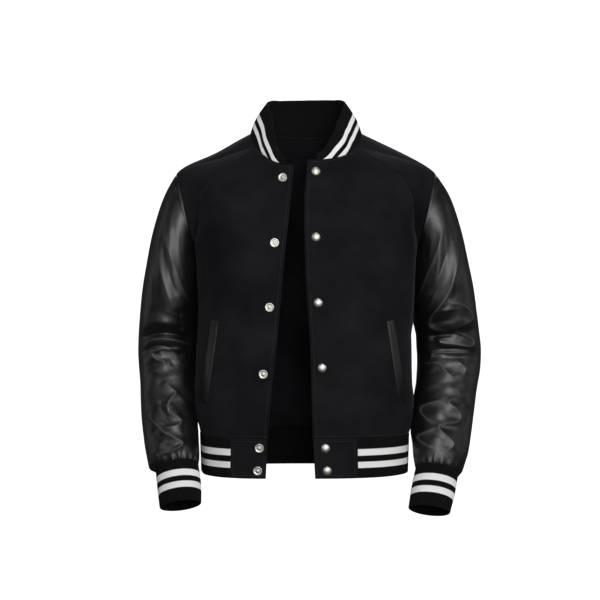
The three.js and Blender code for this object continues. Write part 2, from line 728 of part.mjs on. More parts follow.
function meshOf(name, geometry, surface) {
  const mesh = new THREE.Mesh(geometry, new THREE.MeshStandardMaterial(surface));
  mesh.name = name;
  return mesh;
}

function clothMesh(piece) {
  const outer = drawnIn(piece.grid, piece.normals, piece.ring, piece.gap ?? HALF_SEAM);
  const inner = inset(outer, piece.normals, piece.thickness);
  return meshOf(piece.name, closedWall(outer, inner, piece.ring), piece.surface);
}

const jacket = new THREE.Group();
jacket.name = 'varsity_jacket';

// The hearts are points or lines inside the hollow, which tell outward from inward
const torsoHeart = (p) => new THREE.Vector3(0, 0, p.z);
const sleeveHeart = (side) => (p) => {
  const x = lookUp(SLEEVE, 'z', 'x', p.z);
  const y = lookUp(SLEEVE, 'z', 'y', p.z);
  return new THREE.Vector3(side.sign * x, y, p.z);
};
const shoulderHeart = (side) => () => new THREE.Vector3(side.sign * 170, 0, -140);

const backPiece = addPiece('back', backGrid(), {
  ring: false, thickness: WOOL_WALL, surface: WOOL, sharesSeams: true, heart: torsoHeart,
  gap: ARMHOLE_HALF_SEAM,
});
const fronts = {};
for (const side of SIDES) {
  fronts[side.name] = addPiece(`front_${side.name}`, frontGrid(side), {
    ring: false, thickness: WOOL_WALL, surface: WOOL, sharesSeams: true, heart: torsoHeart,
  });
  addPiece(`shoulder_${side.name}`, shoulderGrid(side), {
    ring: true, thickness: WOOL_WALL, surface: WOOL, sharesSeams: true, heart: shoulderHeart(side),
    gap: ARMHOLE_HALF_SEAM,
  });
  addPiece(`sleeve_${side.name}`, sleeveGrid(side), {
    ring: true, thickness: LEATHER_WALL, surface: LEATHER, sharesSeams: true, heart: sleeveHeart(side),
    gap: ARMHOLE_HALF_SEAM,
  });
}
shareSeamNormals();
for (const piece of pieces) {
  jacket.add(clothMesh(piece));
}

// A path is a list of points with the distance run so far
function pathOf(points) {
  let run = 0;
  return points.map((point, k) => {
    run += k > 0 ? point.distanceTo(points[k - 1]) : 0;
    return { point, run };
  });
}

function onPath(path, run) {
  let k = 0;
  while (k < path.length - 2 && run > path[k + 1].run) {
    k += 1;
  }
  const f = (run - path[k].run) / (path[k + 1].run - path[k].run);
  return path[k].point.clone().lerp(path[k + 1].point, f);
}

const lengthOf = (path) => path[path.length - 1].run;

// Knit band: a wall with ribs raised on the outer face over a plain inside.
// pointAt gives the plain outer face from a share across and a row number.
function ribBand(name, ribs, rowCount, ring, heart, pointAt) {
  const columns = 2 * ribs + (ring ? 0 : 1);
  const plain = [];
  for (let i = 0; i < rowCount; i += 1) {
    const row = [];
    for (let j = 0; j < columns; j += 1) {
      row.push(pointAt(j / (2 * ribs), i));
    }
    plain.push(row);
  }
  const normals = gridNormals(plain, ring);
  faceOutward(plain, normals, heart);
  const outer = inset(plain, normals, 0);
  outer.forEach((row, i) => row.forEach((p, j) => {
    p.addScaledVector(normals[i][j], j % 2 === 1 ? RIB_RAISE : 0);
  }));
  const keep = (_, j) => j % RIB_INNER_STEP === 0 || (!ring && j === columns - 1);
  const inner = inset(plain, normals, RIB_WALL).map((row) => row.filter(keep));
  return meshOf(name, closedWall(outer, inner, ring), RIB);
}

// Cuffs
for (const side of SIDES) {
  const cuffPoint = (share, i) => {
    const v = i === 0 ? CUFF_SEAM_STEP : i;
    return ringPoint(CUFF, side, v, -360 * side.sign * share, 0);
  };
  const heart = () => new THREE.Vector3(side.sign * CUFF[1].x, CUFF[1].y, CUFF[1].z);
  jacket.add(ribBand(`cuff_${side.name}`, CUFF_RIBS, CUFF.length, true, heart, cuffPoint));
}

// Hem: the bottom edge of the body, from the left front edge round the back to the right
const lastOf = (list) => list[list.length - 1];
const hemPath = pathOf([
  ...lastOf(fronts.left.grid),
  ...lastOf(backPiece.grid).slice(1, -1).reverse(),
  ...lastOf(fronts.right.grid).slice().reverse(),
]);
const hemLength = lengthOf(hemPath);

function hemPoint(run, depth) {
  const point = onPath(hemPath, run);
  const fromFront = Math.min(run, hemLength - run) / HEM_SLANT_REACH;
  const slant = HEM_FRONT_SLANT * Math.max(0, 1 - fromFront) * Math.sign(hemLength / 2 - run);
  point.x = point.x * (1 - HEM_DRAW_IN * depth) + slant * depth;
  point.y *= 1 - HEM_DRAW_IN * depth;
  point.z = HEM_SEAM_Z - HALF_SEAM + (HEM_BOTTOM_Z - HEM_SEAM_Z) * depth;
  return point;
}

const hemRun = hemLength - HEM_TAB_WIDTH.left - HEM_TAB_WIDTH.right - 2 * HALF_SEAM;
const hemPointAt = (share, i) => hemPoint(HEM_TAB_WIDTH.left + HALF_SEAM + share * hemRun, i);
jacket.add(ribBand('hem_rib', Math.round(hemRun / RIB_PITCH), 2, false, torsoHeart, hemPointAt));

const tabs = {};
for (const side of SIDES) {
  const width = HEM_TAB_WIDTH[side.name];
  const grid = [0, 1 / 3, 2 / 3, 1].map((depth) => {
    const row = [];
    for (let j = 0; j <= HEM_TAB_COLUMNS; j += 1) {
      const run = (width * j) / HEM_TAB_COLUMNS;
      row.push(hemPoint(side.sign > 0 ? run : hemLength - run, depth));
    }
    return row;
  });
  grid[0].forEach((p) => { p.z += HALF_SEAM; });
  tabs[side.name] = addPiece(`hem_tab_${side.name}`, grid, {
    ring: false, thickness: HEM_TAB_WALL, surface: WOOL, sharesSeams: false, heart: torsoHeart,
  });
  jacket.add(clothMesh(tabs[side.name]));
}

// Collar: stands on the neck seam. share runs from the front corner of the neck (0) to the
// centre back (1); outward, back and up place the top edge from the seam.
const neckHalf = (side) => [
  ...fronts[side.name].grid[0],
  ...stations(side).slice(RAGLAN_ROWS + 1, RAGLAN_ROWS + NECK_STEPS).map((one) => one.point),
];
const backNeck = backPiece.grid[0].slice().reverse();
const neckPath = pathOf([...neckHalf(SIDES[0]), ...backNeck, ...neckHalf(SIDES[1]).reverse()]);
const neckLength = lengthOf(neckPath);

function collarPoint(share, row) {
  const run = COLLAR_START.left + share * (neckLength - COLLAR_START.left - COLLAR_START.right);
  const base = onPath(neckPath, run);
  const half = neckLength / 2;
  const onLeft = run < half;
  const along = (onLeft ? run : neckLength - run) / half;
  const at = (name) => lookUp(COLLAR, 'share', name, along);
  const lift = new THREE.Vector3((onLeft ? 1 : -1) * at('outward'), at('back'), at('up'));
  const height = row / COLLAR_ROWS;
  const seamGap = lift.clone().normalize().multiplyScalar(HALF_SEAM);
  base.addScaledVector(lift, height);
  const bulge = COLLAR_BULGE * Math.sin(Math.PI * height) * smoothStep(along / 0.3);
  const away = new THREE.Vector3(base.x, base.y, 0).normalize();
  return base.add(seamGap).addScaledVector(away, bulge);
}

const collarRibs = Math.round((neckLength - COLLAR_START.left - COLLAR_START.right) / RIB_PITCH);
jacket.add(ribBand('collar', collarRibs, COLLAR_ROWS + 1, false, torsoHeart, collarPoint));

// Point and outward normal of a piece's own mesh at whole-and-part row i and column j
function meshPlace(piece, i, j) {
  const r = Math.min(Math.max(Math.floor(i), 0), piece.grid.length - 2);
  const c = Math.min(Math.max(Math.floor(j), 0), piece.grid[0].length - 2);
  const blend = (grid) => {
    const top = grid[r][c].clone().lerp(grid[r][c + 1], j - c);
    const low = grid[r + 1][c].clone().lerp(grid[r + 1][c + 1], j - c);
    return top.lerp(low, i - r);
  };
  return { point: blend(piece.grid), normal: blend(piece.normals).normalize() };
}

// Row and column of a piece's mesh that lie behind a place seen from the front
function findPlace(piece, x, z) {
  let i = piece.grid.length / 2;
  let j = piece.grid[0].length / 2;
  for (let step = 0; step < PLACE_STEPS; step += 1) {
    const p = meshPlace(piece, i, j).point;
    const pi = meshPlace(piece, i + PLACE_NUDGE, j).point.sub(p);
    const pj = meshPlace(piece, i, j + PLACE_NUDGE).point.sub(p);
    const det = pi.x * pj.z - pi.z * pj.x;
    const dx = x - p.x;
    const dz = z - p.z;
    i += PLACE_EASE * PLACE_NUDGE * (dx * pj.z - dz * pj.x) / det;
    j += PLACE_EASE * PLACE_NUDGE * (dz * pi.x - dx * pi.z) / det;
    i = Math.min(Math.max(i, 0), piece.grid.length - 1.01);
    j = Math.min(Math.max(j, 0), piece.grid[0].length - 1.01);
  }
  return { i, j };
}

// Pocket welts lie on the fronts, made from the panel's own points moved out
for (const side of SIDES) {
  const ends = WELT_ENDS[side.name];
  const panel = fronts[side.name];
  const grid = [];
  const normals = [];
  for (let i = 0; i <= WELT_ROWS; i += 1) {
    const f = i / WELT_ROWS;
    const row = [];
    const rowNormals = [];
    for (let j = 0; j <= WELT_COLUMNS; j += 1) {
      const across = WELT_WIDTH * (j / WELT_COLUMNS - 0.5) * WELT_FORESHORTEN;
      const x = ends.topX + (ends.bottomX - ends.topX) * f + across;
      const z = ends.topZ + (ends.bottomZ - ends.topZ) * f + WELT_TILT * across * side.sign;
      const place = findPlace(panel, x, z);
      const { point, normal } = meshPlace(panel, place.i, place.j);
      row.push(point.addScaledVector(normal, WELT_LIFT + WELT_WALL));
      rowNormals.push(normal);
    }
    grid.push(row);
    normals.push(rowNormals);
  }
  const geometry = closedWall(grid, inset(grid, normals, WELT_WALL), false);
  jacket.add(meshOf(`pocket_welt_${side.name}`, geometry, LEATHER));
}

// Snaps: domed caps on the left front, studs with a centre post on the right
function snap(name, profile, piece, x, z) {
  const place = findPlace(piece, x, z);
  const { point, normal } = meshPlace(piece, place.i, place.j);
  const geometry = new THREE.LatheGeometry(profile.map(([r, h]) => new THREE.Vector2(r, h)), SNAP_SIDES);
  const mesh = meshOf(name, geometry, SNAP_METAL);
  mesh.quaternion.setFromUnitVectors(new THREE.Vector3(0, 1, 0), normal);
  mesh.position.copy(point.addScaledVector(normal, SNAP_LIFT));
  return mesh;
}

SNAP_PLACES.forEach((place, k) => {
  const onTab = k >= SNAPS_ON_BODY;
  const left = onTab ? tabs.left : fronts.left;
  const right = onTab ? tabs.right : fronts.right;
  jacket.add(snap(`snap_cap_${k + 1}`, CAP_PROFILE, left, place.capX, place.capZ));
  jacket.add(snap(`snap_stud_${k + 1}`, STUD_PROFILE, right, place.studX, place.studZ));
});

export default jacket;
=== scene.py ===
# Varsity jacket, worn and open down the front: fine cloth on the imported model's form.
import math
import bmesh
import bpy
import numpy as np
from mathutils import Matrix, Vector


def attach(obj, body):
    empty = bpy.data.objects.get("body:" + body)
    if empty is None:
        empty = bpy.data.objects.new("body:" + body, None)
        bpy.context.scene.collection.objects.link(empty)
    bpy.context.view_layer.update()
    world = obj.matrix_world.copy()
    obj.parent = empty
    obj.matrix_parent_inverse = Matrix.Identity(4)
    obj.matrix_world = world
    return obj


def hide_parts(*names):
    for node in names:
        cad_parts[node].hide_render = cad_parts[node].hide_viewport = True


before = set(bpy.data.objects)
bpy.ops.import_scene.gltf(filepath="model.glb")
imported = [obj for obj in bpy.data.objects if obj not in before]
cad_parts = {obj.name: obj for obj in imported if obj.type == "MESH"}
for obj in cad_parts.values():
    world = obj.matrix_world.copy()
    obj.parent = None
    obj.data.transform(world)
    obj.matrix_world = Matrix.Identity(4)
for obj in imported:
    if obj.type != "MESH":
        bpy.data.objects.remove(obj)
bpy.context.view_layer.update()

# Tables are in millimetres, meshes in metres
MM = 0.001

# Walls and levels, as on the model
WOOL_WALL = 2.4
LEATHER_WALL = 1.6
RIB_WALL = 2.4
TAB_WALL = 3.0
HEM_SEAM_Z = -546
HEM_BOTTOM_Z = -617
HEM_SWAY = -3.5
SWAY_START_Z = -300
TAB_WIDTH = {"left": 80, "right": 68}
SIDES = {"left": 1, "right": -1}

# Dip of the cloth along its seams
GROOVE_DEPTH = 0.9
GROOVE_REACH = 3.0

# Fineness of the shells
FRONT_COLUMNS = 72
BACK_COLUMNS = 120
RAGLAN_ROWS = 84
BODY_ROWS = 110
SHOULDER_COLUMNS = 34
NECK_STEPS = 40
SLEEVE_COLUMNS = 150
# Rows of a sleeve between its rings: first ring, last ring, count
SLEEVE_STRETCHES = [(0, 4, 65), (4, 8, 77), (8, 12, 74)]


def table(names, rows):
    """Named columns as arrays."""
    data = np.array(rows, dtype=float)
    return {name: data[:, k] for k, name in enumerate(names)}


def smooth_step(f):
    c = np.clip(f, 0, 1)
    return c * c * (3 - 2 * c)


def ease(value, start, reach):
    """Smooth rise from 0 at start to 1 a reach beyond it."""
    return smooth_step((value - start) / reach)


def column(rows, name, t):
    """Smooth value of one column at row positions t."""
    data = rows[name]
    last = len(data) - 1
    t = np.asarray(t, dtype=float)
    k = np.clip(np.floor(t).astype(int), 0, last - 1)
    f = t - k
    p1, p2 = data[k], data[k + 1]
    p0 = np.where(k > 0, data[np.maximum(k - 1, 0)], 2 * p1 - p2)
    p3 = np.where(k + 2 <= last, data[np.minimum(k + 2, last)], 2 * p2 - p1)
    bend = 2 * p0 - 5 * p1 + 4 * p2 - p3
    twist = 3 * (p1 - p2) + p3 - p0
    return p1 + 0.5 * f * (p2 - p0 + f * (bend + f * twist))


def look_up(rows, key, name, value):
    order = np.argsort(rows[key])
    return np.interp(value, rows[key][order], rows[name][order])


def points(x, y, z):
    return np.stack(np.broadcast_arrays(x, y, z), axis=-1).astype(float)


def heading(turn, rise):
    t, r = np.radians(turn), np.radians(rise)
    return points(np.cos(t) * np.cos(r), np.sin(t) * np.cos(r), np.sin(r))


def span(start, start_way, start_reach, end, end_way, end_reach, u):
    """Curve between two points that leaves and arrives along given headings."""
    chord = np.linalg.norm(end - start, axis=-1)[..., None]
    p1 = start + start_way * chord * np.asarray(start_reach)[..., None]
    p2 = end - end_way * chord * np.asarray(end_reach)[..., None]
    u = np.asarray(u)[..., None]
    w = 1 - u
    return w ** 3 * start + 3 * w * w * u * p1 + 3 * w * u * u * p2 + u ** 3 * end


def sway(grid):
    f = (SWAY_START_Z - grid[..., 2]) / (SWAY_START_Z - HEM_SEAM_Z)
    grid[..., 0] += HEM_SWAY * smooth_step(f)
    return grid


# Front edges of the two front panels, from the neck down
FRONT_EDGE = table(["z", "left", "right", "y"], [
    [-51, 3, 20, -109],
    [-64, 1.5, 22, -111],
    [-117, -3, 27, -117],
    [-164, -3.5, 31.5, -120],
    [-211, -3, 37, -122],
    [-283, 0, 43.5, -124],
    [-380, 7.5, 51.5, -125],
    [-444, 11, 57, -125],
    [-497, 13, 61, -123],
    [-546, 15, 64.5, -121],
    [-617, 19.5, 68.5, -119],
])
NECK_CORNER_Z = {"left": -52, "right": -61}

# Rows of a front panel: the raglan seam then the side seam, and how each row bends
FRONT = table(
    ["outX", "outY", "outZ", "turnOut", "riseOut", "reachOut", "turnIn", "riseIn", "reachIn", "down"],
    [
        [91, -46, -22, 62, 32, 0.40, 6, 3, 0.36, 0.000],
        [108, -68, -38, 44, 24, 0.34, 2, 6, 0.38, 0.052],
        [136, -84, -58, 30, 18, 0.32, 0, 8, 0.40, 0.114],
        [160, -90, -75, 26, 14, 0.30, -2, 9, 0.42, 0.162],
        [178, -88, -93, 34, 12, 0.30, -2, 9, 0.44, 0.204],
        [190, -80, -112, 50, 10, 0.30, -2, 9, 0.46, 0.243],
        [195.5, -65, -138, 70, 8, 0.29, -2, 9, 0.48, 0.292],
        [197, -45, -168, 84, 5, 0.29, -2, 8, 0.50, 0.351],
        [198, -22, -190, 88, 3, 0.35, -2, 7, 0.51, 0.400],
        [197, 0, -205, 90, 0, 0.42, -1, 6, 0.52, 0.445],
        [196, 0, -240, 90, 0, 0.42, 0, 5, 0.53, 0.503],
        [193.5, 0, -300, 90, 0, 0.40, 0, 3, 0.53, 0.600],
        [193, 0, -345, 90, 0, 0.39, 0, 3, 0.53, 0.674],
        [196, 0, -390, 90, 0, 0.37, 0, 2, 0.53, 0.747],
        [197.5, 0, -430, 90, 0, 0.37, 0, 1, 0.53, 0.812],
        [199, 0, -468, 90, 0, 0.38, 0, 0, 0.53, 0.869],
        [197.5, 0, -512, 90, 0, 0.38, 0, 0, 0.53, 0.942],
        [192, 0, -546, 90, 0, 0.37, 0, 0, 0.53, 1.000],
    ],
)
BACK = table(
    ["outX", "outY", "outZ", "turnOut", "riseOut", "reachOut", "inY", "inZ", "reachIn"],
    [
        [76, 62, 13, -34, 1, 0.34, 82, 10, 0.36],
        [98, 76, -6, -34, 8, 0.32, 92, -14, 0.38],
        [122, 86, -32, -30, 12, 0.32, 101, -44, 0.40],
        [146, 91, -57, -26, 12, 0.30, 108, -74, 0.42],
        [168, 91, -82, -30, 10, 0.30, 113, -103, 0.44],
        [187, 84, -110, -46, 8, 0.30, 117, -132, 0.46],
        [195.5, 67, -138, -70, 6, 0.29, 120, -160, 0.48],
        [197, 46, -168, -84, 4, 0.29, 122, -188, 0.50],
        [198, 22, -190, -88, 2, 0.35, 123, -211, 0.51],
        [197, 0, -205, -90, 0, 0.42, 123, -232, 0.52],
        [196, 0, -240, -90, 0, 0.42, 123, -268, 0.53],
        [193.5, 0, -300, -90, 0, 0.40, 121, -320, 0.53],
        [193, 0, -345, -90, 0, 0.39, 120, -360, 0.53],
        [196, 0, -390, -90, 0, 0.37, 121, -399, 0.53],
        [197.5, 0, -430, -90, 0, 0.37, 123, -434, 0.53],
        [199, 0, -468, -90, 0, 0.38, 124, -469, 0.53],
        [197.5, 0, -512, -90, 0, 0.38, 122, -512, 0.53],
        [192, 0, -546, -90, 0, 0.37, 117, -546, 0.53],
    ],
)
UNDERARM_ROW = 9
HEM_ROW = 17

# Soft drape of the wool: ridges and troughs drawn over the panels
FOLD_COLUMNS = ["row1", "across1", "row2", "across2", "raise", "width"]
FRONT_DRAPE = table(FOLD_COLUMNS, [
    [8.5, 0.86, 12.0, 0.42, -3.0, 16],
    [9.5, 0.92, 14.0, 0.62, 3.0, 16],
    [5.0, 0.30, 11.0, 0.16, 2.5, 18],
    [12.5, 0.30, 16.0, 0.26, -3.0, 16],
    [13.0, 0.52, 16.3, 0.46, 3.0, 16],
    [14.2, 0.80, 16.2, 0.55, -2.5, 13],
    [15.3, 0.12, 16.9, 0.10, 1.2, 8],
    [15.1, 0.36, 16.9, 0.35, 1.4, 8],
    [15.4, 0.66, 16.9, 0.64, 1.4, 8],
    [10.2, 0.97, 12.2, 0.80, -1.6, 8],
    [4.2, 0.90, 7.2, 0.70, 1.4, 10],
])
BACK_DRAPE = table(FOLD_COLUMNS, [
    [8.0, 0.84, 12.5, 0.40, -3.5, 18],
    [9.5, 0.90, 14.5, 0.55, 3.5, 18],
    [3.0, 0.42, 8.0, 0.50, -2.5, 20],
    [11.0, 0.10, 16.0, 0.20, -3.0, 20],
    [13.0, 0.36, 16.4, 0.40, 3.5, 18],
    [14.5, 0.72, 16.2, 0.60, -3.0, 14],
    [15.2, 0.15, 16.9, 0.15, 1.5, 9],
    [15.0, 0.50, 16.9, 0.50, 1.5, 9],
    [15.4, 0.84, 16.9, 0.82, 1.5, 8],
])
PANEL_MM_PER_ROW = 33
PANEL_MM_ACROSS = 210
QUIET_ACROSS = 0.16
QUIET_ROWS_TOP = 2
QUIET_ROWS_FOOT = 1.2


def fold_height(folds, row, across, mm_per_row, mm_across, sharpen=1.0):
    """Height of straight folds over a surface, each between two places and fading at its ends."""
    height = np.zeros(np.broadcast(row, across).shape)
    for r1, a1, r2, a2, lift, width in zip(*(folds[name] for name in FOLD_COLUMNS)):
        ax, ay = a1 * mm_across, r1 * mm_per_row
        dx, dy = a2 * mm_across - ax, r2 * mm_per_row - ay
        px, py = across * mm_across - ax, row * mm_per_row - ay
        near = np.clip((px * dx + py * dy) / (dx * dx + dy * dy), 0, 1)
        away = np.hypot(px - near * dx, py - near * dy) / (width * sharpen)
        fade = 0.35 + 0.65 * np.sin(np.pi * np.clip(near, 0.08, 0.92))
        height += lift * fade * np.exp(-away * away)
    return height


def quiet_at_edges(row, across):
    """Share of the drape left at a place: none on the seams."""
    sides = ease(across, 0, QUIET_ACROSS) * ease(1 - across, 0, QUIET_ACROSS)
    return sides * ease(row, 0, QUIET_ROWS_TOP) * ease(HEM_ROW - row, 0, QUIET_ROWS_FOOT)


def front_points(side, v, u):
    v, u = np.broadcast_arrays(np.asarray(v, float), np.asarray(u, float))
    at = lambda name: column(FRONT, name, v)
    drape = fold_height(FRONT_DRAPE, v, u, PANEL_MM_PER_ROW, PANEL_MM_ACROSS) * quiet_at_edges(v, u)
    top = NECK_CORNER_Z[side]
    start_z = top + at("down") * (HEM_SEAM_Z - top)
    start = points(look_up(FRONT_EDGE, "z", side, start_z),
                   look_up(FRONT_EDGE, "z", "y", start_z), start_z)
    end = points(at("outX"), at("outY"), at("outZ"))
    grid = span(start, heading(at("turnIn"), at("riseIn")), at("reachIn"),
                end, heading(at("turnOut"), at("riseOut")), at("reachOut"), u)
    grid[..., 1] -= drape
    swell = look_up(PRESS, "z", side + "Out", grid[..., 2])
    grid[..., 0] += swell * ease(u, 0.66, 0.16) * ease(1 - u, 0, 0.08)
    grid[..., 0] *= SIDES[side]
    return sway(grid)


def back_points(side, v, u):
    v, u = np.broadcast_arrays(np.asarray(v, float), np.asarray(u, float))
    at = lambda name: column(BACK, name, v)
    start = points(0 * v, at("inY"), at("inZ"))
    end = points(at("outX"), at("outY"), at("outZ"))
    grid = span(start, heading(0 * v, 0 * v), at("reachIn"),
                end, heading(at("turnOut"), at("riseOut")), at("reachOut"), u)
    drape = fold_height(BACK_DRAPE, v, u, PANEL_MM_PER_ROW, PANEL_MM_ACROSS)
    grid[..., 1] += drape * quiet_at_edges(v, 0.5 + 0.5 * u)
    grid[..., 0] *= SIDES[side]
    return sway(grid)


def raglan_rows():
    return np.linspace(0, UNDERARM_ROW, RAGLAN_ROWS + 1)


def panel_rows():
    return np.concatenate([raglan_rows(), np.linspace(UNDERARM_ROW, HEM_ROW, BODY_ROWS + 1)[1:]])


# Rings of a sleeve and of a cuff for the wearer's left, with changes for the right
RING_COLUMNS = ["x", "y", "z", "tilt", "half", "deep", "pitch", "rightX", "rightZ", "rightHalf"]
SLEEVE = table(RING_COLUMNS, [
    [222.5, 2, -137.5, 75, 70.5, 66, 0, 0, 0, 0],
    [234.5, 1, -170.5, 63, 68.6, 68, 0, -2, 0, -2],
    [244.5, 1, -215, 48.7, 62.5, 69, 0, -2.5, 0, -2.5],
    [251, 2, -258.5, 33, 57.6, 69, 0, -3, 0, -3],
    [257.2, 4, -302, 16.3, 56.4, 68, 0, -4, 0, -4],
    [261, 9, -344, 6, 57, 66, 3, -4.5, 0, -4.5],
    [263.5, 14, -384, 0, 58.5, 63, 9, -5, 0, -5],
    [263, 13, -423, -1, 57, 60, 16, -5, 0, -4.5],
    [256.5, -4, -464, -2, 54, 57, 21, -2, 1, -3.5],
    [250.5, -24, -507, -4, 52, 54, 24, 0.5, 3, -2.5],
    [243, -47, -550, -6, 50.5, 50, 26, 0, 5, -2],
    [238, -68, -586, -7, 45.5, 45, 26, -2, 7, -1],
    [235, -78, -606, -8, 39.5, 39, 26, -3, 7, 0],
])
CUFF = table(RING_COLUMNS, [
    [235, -78, -606, -8, 38, 38, 26, -3, 7, 0],
    [226.5, -93, -641, -8, 38.5, 38.5, 24, 0, 7.5, 0],
    [218, -107, -675, -8, 36.5, 36.5, 22, 5, 9, 0],
])
CUFF_SEAM_RING = 12
ARMHOLE_BOW = 4


def ring_points(rows, side, v, psi, grow=0.0):
    """Points of a ring table; psi is 0 outward, 90 at the front, 180 at the underarm."""
    v, psi = np.broadcast_arrays(np.asarray(v, float), np.asarray(psi, float))
    at = lambda name: column(rows, name, v)
    right = 1.0 if side == "right" else 0.0
    tilt, pitch, angle = np.radians(at("tilt")), np.radians(at("pitch")), np.radians(psi)
    half = at("half") + right * at("rightHalf") + grow
    deep = at("deep") + grow
    centre = points(at("x") + right * at("rightX"), at("y"), at("z") + right * at("rightZ"))
    long_axis = points(np.cos(tilt), 0 * tilt, np.sin(tilt))
    deep_axis = points(0 * pitch, -np.cos(pitch), np.sin(pitch))
    grid = centre + long_axis * (half * np.cos(angle))[..., None]
    grid += deep_axis * (deep * np.sin(angle))[..., None]
    grid[..., 0] *= SIDES[side]
    return grid


# Folds and finer creases of the leather. row is the ring position, across the angle round the arm.
# Those behind the arm are the same on both sleeves.
REAR_FOLDS = [
    [2.0, 300, 4.4, 250, 5, 13],
    [5.0, 220, 5.35, 300, 4, 14],
    [5.75, 215, 5.95, 320, -4.5, 14],
    [6.5, 220, 6.75, 310, 4, 14],
    [7.6, 230, 8.2, 290, -4, 12],
    [8.8, 220, 9.3, 300, 5, 12],
    [10.0, 300, 10.3, 230, 4, 11],
]
REAR_CREASES = [
    [1.4, 280, 3.6, 236, 1.8, 5],
    [3.4, 310, 4.6, 268, 2.0, 5],
    [5.5, 230, 5.6, 300, 2.2, 5],
    [6.2, 226, 6.3, 304, 2.2, 5],
    [7.1, 236, 7.5, 290, -2.0, 5],
    [8.3, 300, 8.8, 236, 2.0, 5],
    [9.5, 240, 9.9, 300, 2.0, 5],
]
SLEEVE_FOLDS = {
    "left": table(FOLD_COLUMNS, [
        [0.9, 75, 3.5, 122, 5, 12],
        [1.6, 50, 4.2, 86, 5, 12],
        [4.2, 86, 4.8, 112, 5, 11],
        [3.8, 78, 5.0, 120, -5, 10],
        [5.25, 112, 5.1, 60, 4.5, 13],
        [4.6, 38, 5.3, 60, 5, 10],
        [5.75, 120, 5.6, 20, -5.5, 13],
        [6.15, 105, 6.3, 25, 4.5, 13],
        [6.7, 145, 6.75, 60, -4.5, 12],
        [7.0, 130, 7.3, 60, 5, 11],
        [7.9, 60, 8.5, 120, -4, 11],
        [8.9, 140, 9.1, 62, 5, 12],
        [9.1, 62, 9.5, 101, 4, 10],
        [10.0, 140, 10.3, 65, 5, 11],
        [9.7, 40, 10.1, 100, -4, 10],
    ] + REAR_FOLDS),
    "right": table(FOLD_COLUMNS, [
        [0.7, 60, 2.4, 88, 5, 12],
        [2.4, 88, 3.8, 125, 5, 12],
        [1.6, 50, 4.1, 88, 4, 12],
        [4.2, 80, 5.0, 60, -4, 11],
        [5.0, 40, 5.1, 110, 6, 11],
        [5.95, 20, 5.55, 72, -5.5, 13],
        [5.55, 72, 5.85, 150, -5.5, 13],
        [6.1, 110, 6.25, 55, 6, 10],
        [6.25, 55, 6.8, 84, 5, 9],
        [6.8, 84, 7.2, 45, 5, 10],
        [6.5, 150, 6.9, 110, -5, 10],
        [7.6, 50, 7.9, 100, -4, 11],
        [8.0, 90, 8.6, 92, 5, 12],
        [9.0, 84, 9.5, 106, 5, 11],
        [9.1, 38, 9.8, 72, 5, 11],
        [9.8, 72, 10.3, 108, 4, 10],
        [10.3, 108, 10.4, 50, 4, 10],
    ] + REAR_FOLDS),
}
SLEEVE_CREASES = {
    "left": table(FOLD_COLUMNS, [
        [0.6, 100, 2.4, 132, 1.8, 5],
        [1.0, 66, 3.0, 88, 2.0, 5],
        [1.5, 96, 3.4, 126, -1.8, 5],
        [2.6, 62, 4.5, 96, 2.2, 5],
        [3.2, 108, 4.4, 140, 2.2, 5],
        [4.35, 130, 4.5, 60, 2.2, 4.5],
        [4.8, 150, 4.9, 96, -2.2, 4.5],
        [5.05, 20, 5.0, 70, 2.0, 4.5],
        [5.4, 30, 5.5, 84, -2.4, 4.5],
        [5.5, 140, 5.45, 90, 2.2, 4.5],
        [5.95, 130, 6.0, 70, 2.6, 4.5],
        [6.05, 18, 6.1, 66, -2.2, 4],
        [6.45, 60, 6.55, 120, -2.4, 4.5],
        [6.9, 30, 7.05, 76, 2.0, 4.5],
        [7.25, 84, 7.6, 140, 2.2, 5],
        [7.5, 40, 8.0, 84, 2.0, 5],
        [8.2, 128, 8.5, 66, 2.2, 5],
        [8.55, 66, 8.9, 34, 1.8, 5],
        [8.7, 96, 9.0, 130, -2.0, 5],
        [9.3, 130, 9.7, 84, 2.2, 5],
        [9.7, 84, 9.9, 46, 2.0, 5],
        [10.4, 130, 10.6, 90, 2.2, 4.5],
        [10.6, 90, 10.8, 50, 2.0, 4.5],
        [10.9, 110, 11.2, 70, -1.8, 4.5],
    ] + REAR_CREASES),
    "right": table(FOLD_COLUMNS, [
        [0.6, 84, 2.2, 116, 1.8, 5],
        [1.2, 64, 3.0, 98, -1.6, 5],
        [1.9, 72, 3.8, 102, 2.0, 5],
        [3.0, 118, 4.3, 146, 2.2, 5],
        [3.4, 50, 4.6, 70, 1.8, 5],
        [4.5, 96, 4.8, 150, 2.2, 4.5],
        [4.75, 30, 4.8, 84, 2.0, 4.5],
        [5.2, 130, 5.3, 64, -2.4, 4.5],
        [5.35, 24, 5.25, 62, 2.0, 4.5],
        [5.7, 40, 5.75, 100, 2.4, 4.5],
        [5.95, 96, 6.05, 150, 2.2, 4.5],
        [6.4, 70, 6.5, 34, -2.2, 4],
        [6.5, 90, 6.6, 130, 2.4, 4.5],
        [7.05, 120, 7.3, 70, 2.2, 5],
        [7.3, 70, 7.6, 40, 2.0, 5],
        [7.9, 120, 8.2, 78, -2.0, 5],
        [8.3, 66, 8.6, 40, 2.0, 5],
        [8.6, 100, 9.0, 134, 2.2, 5],
        [9.0, 60, 9.4, 34, -2.0, 5],
        [9.4, 92, 9.8, 126, 2.2, 5],
        [10.0, 56, 10.2, 96, -2.0, 5],
        [10.5, 96, 10.8, 58, 2.2, 4.5],
        [10.7, 118, 11.0, 84, 2.0, 4.5],
        [10.9, 66, 11.2, 36, 1.8, 4.5],
    ] + REAR_CREASES),
}
SLEEVE_MM_PER_ROW = 41
SLEEVE_MM_PER_DEGREE = 1
MAIN_FOLD_SHARPEN = 0.8
GATHER_COUNT = 19
GATHER_RAISE = 1.9
GATHER_START = 10.9

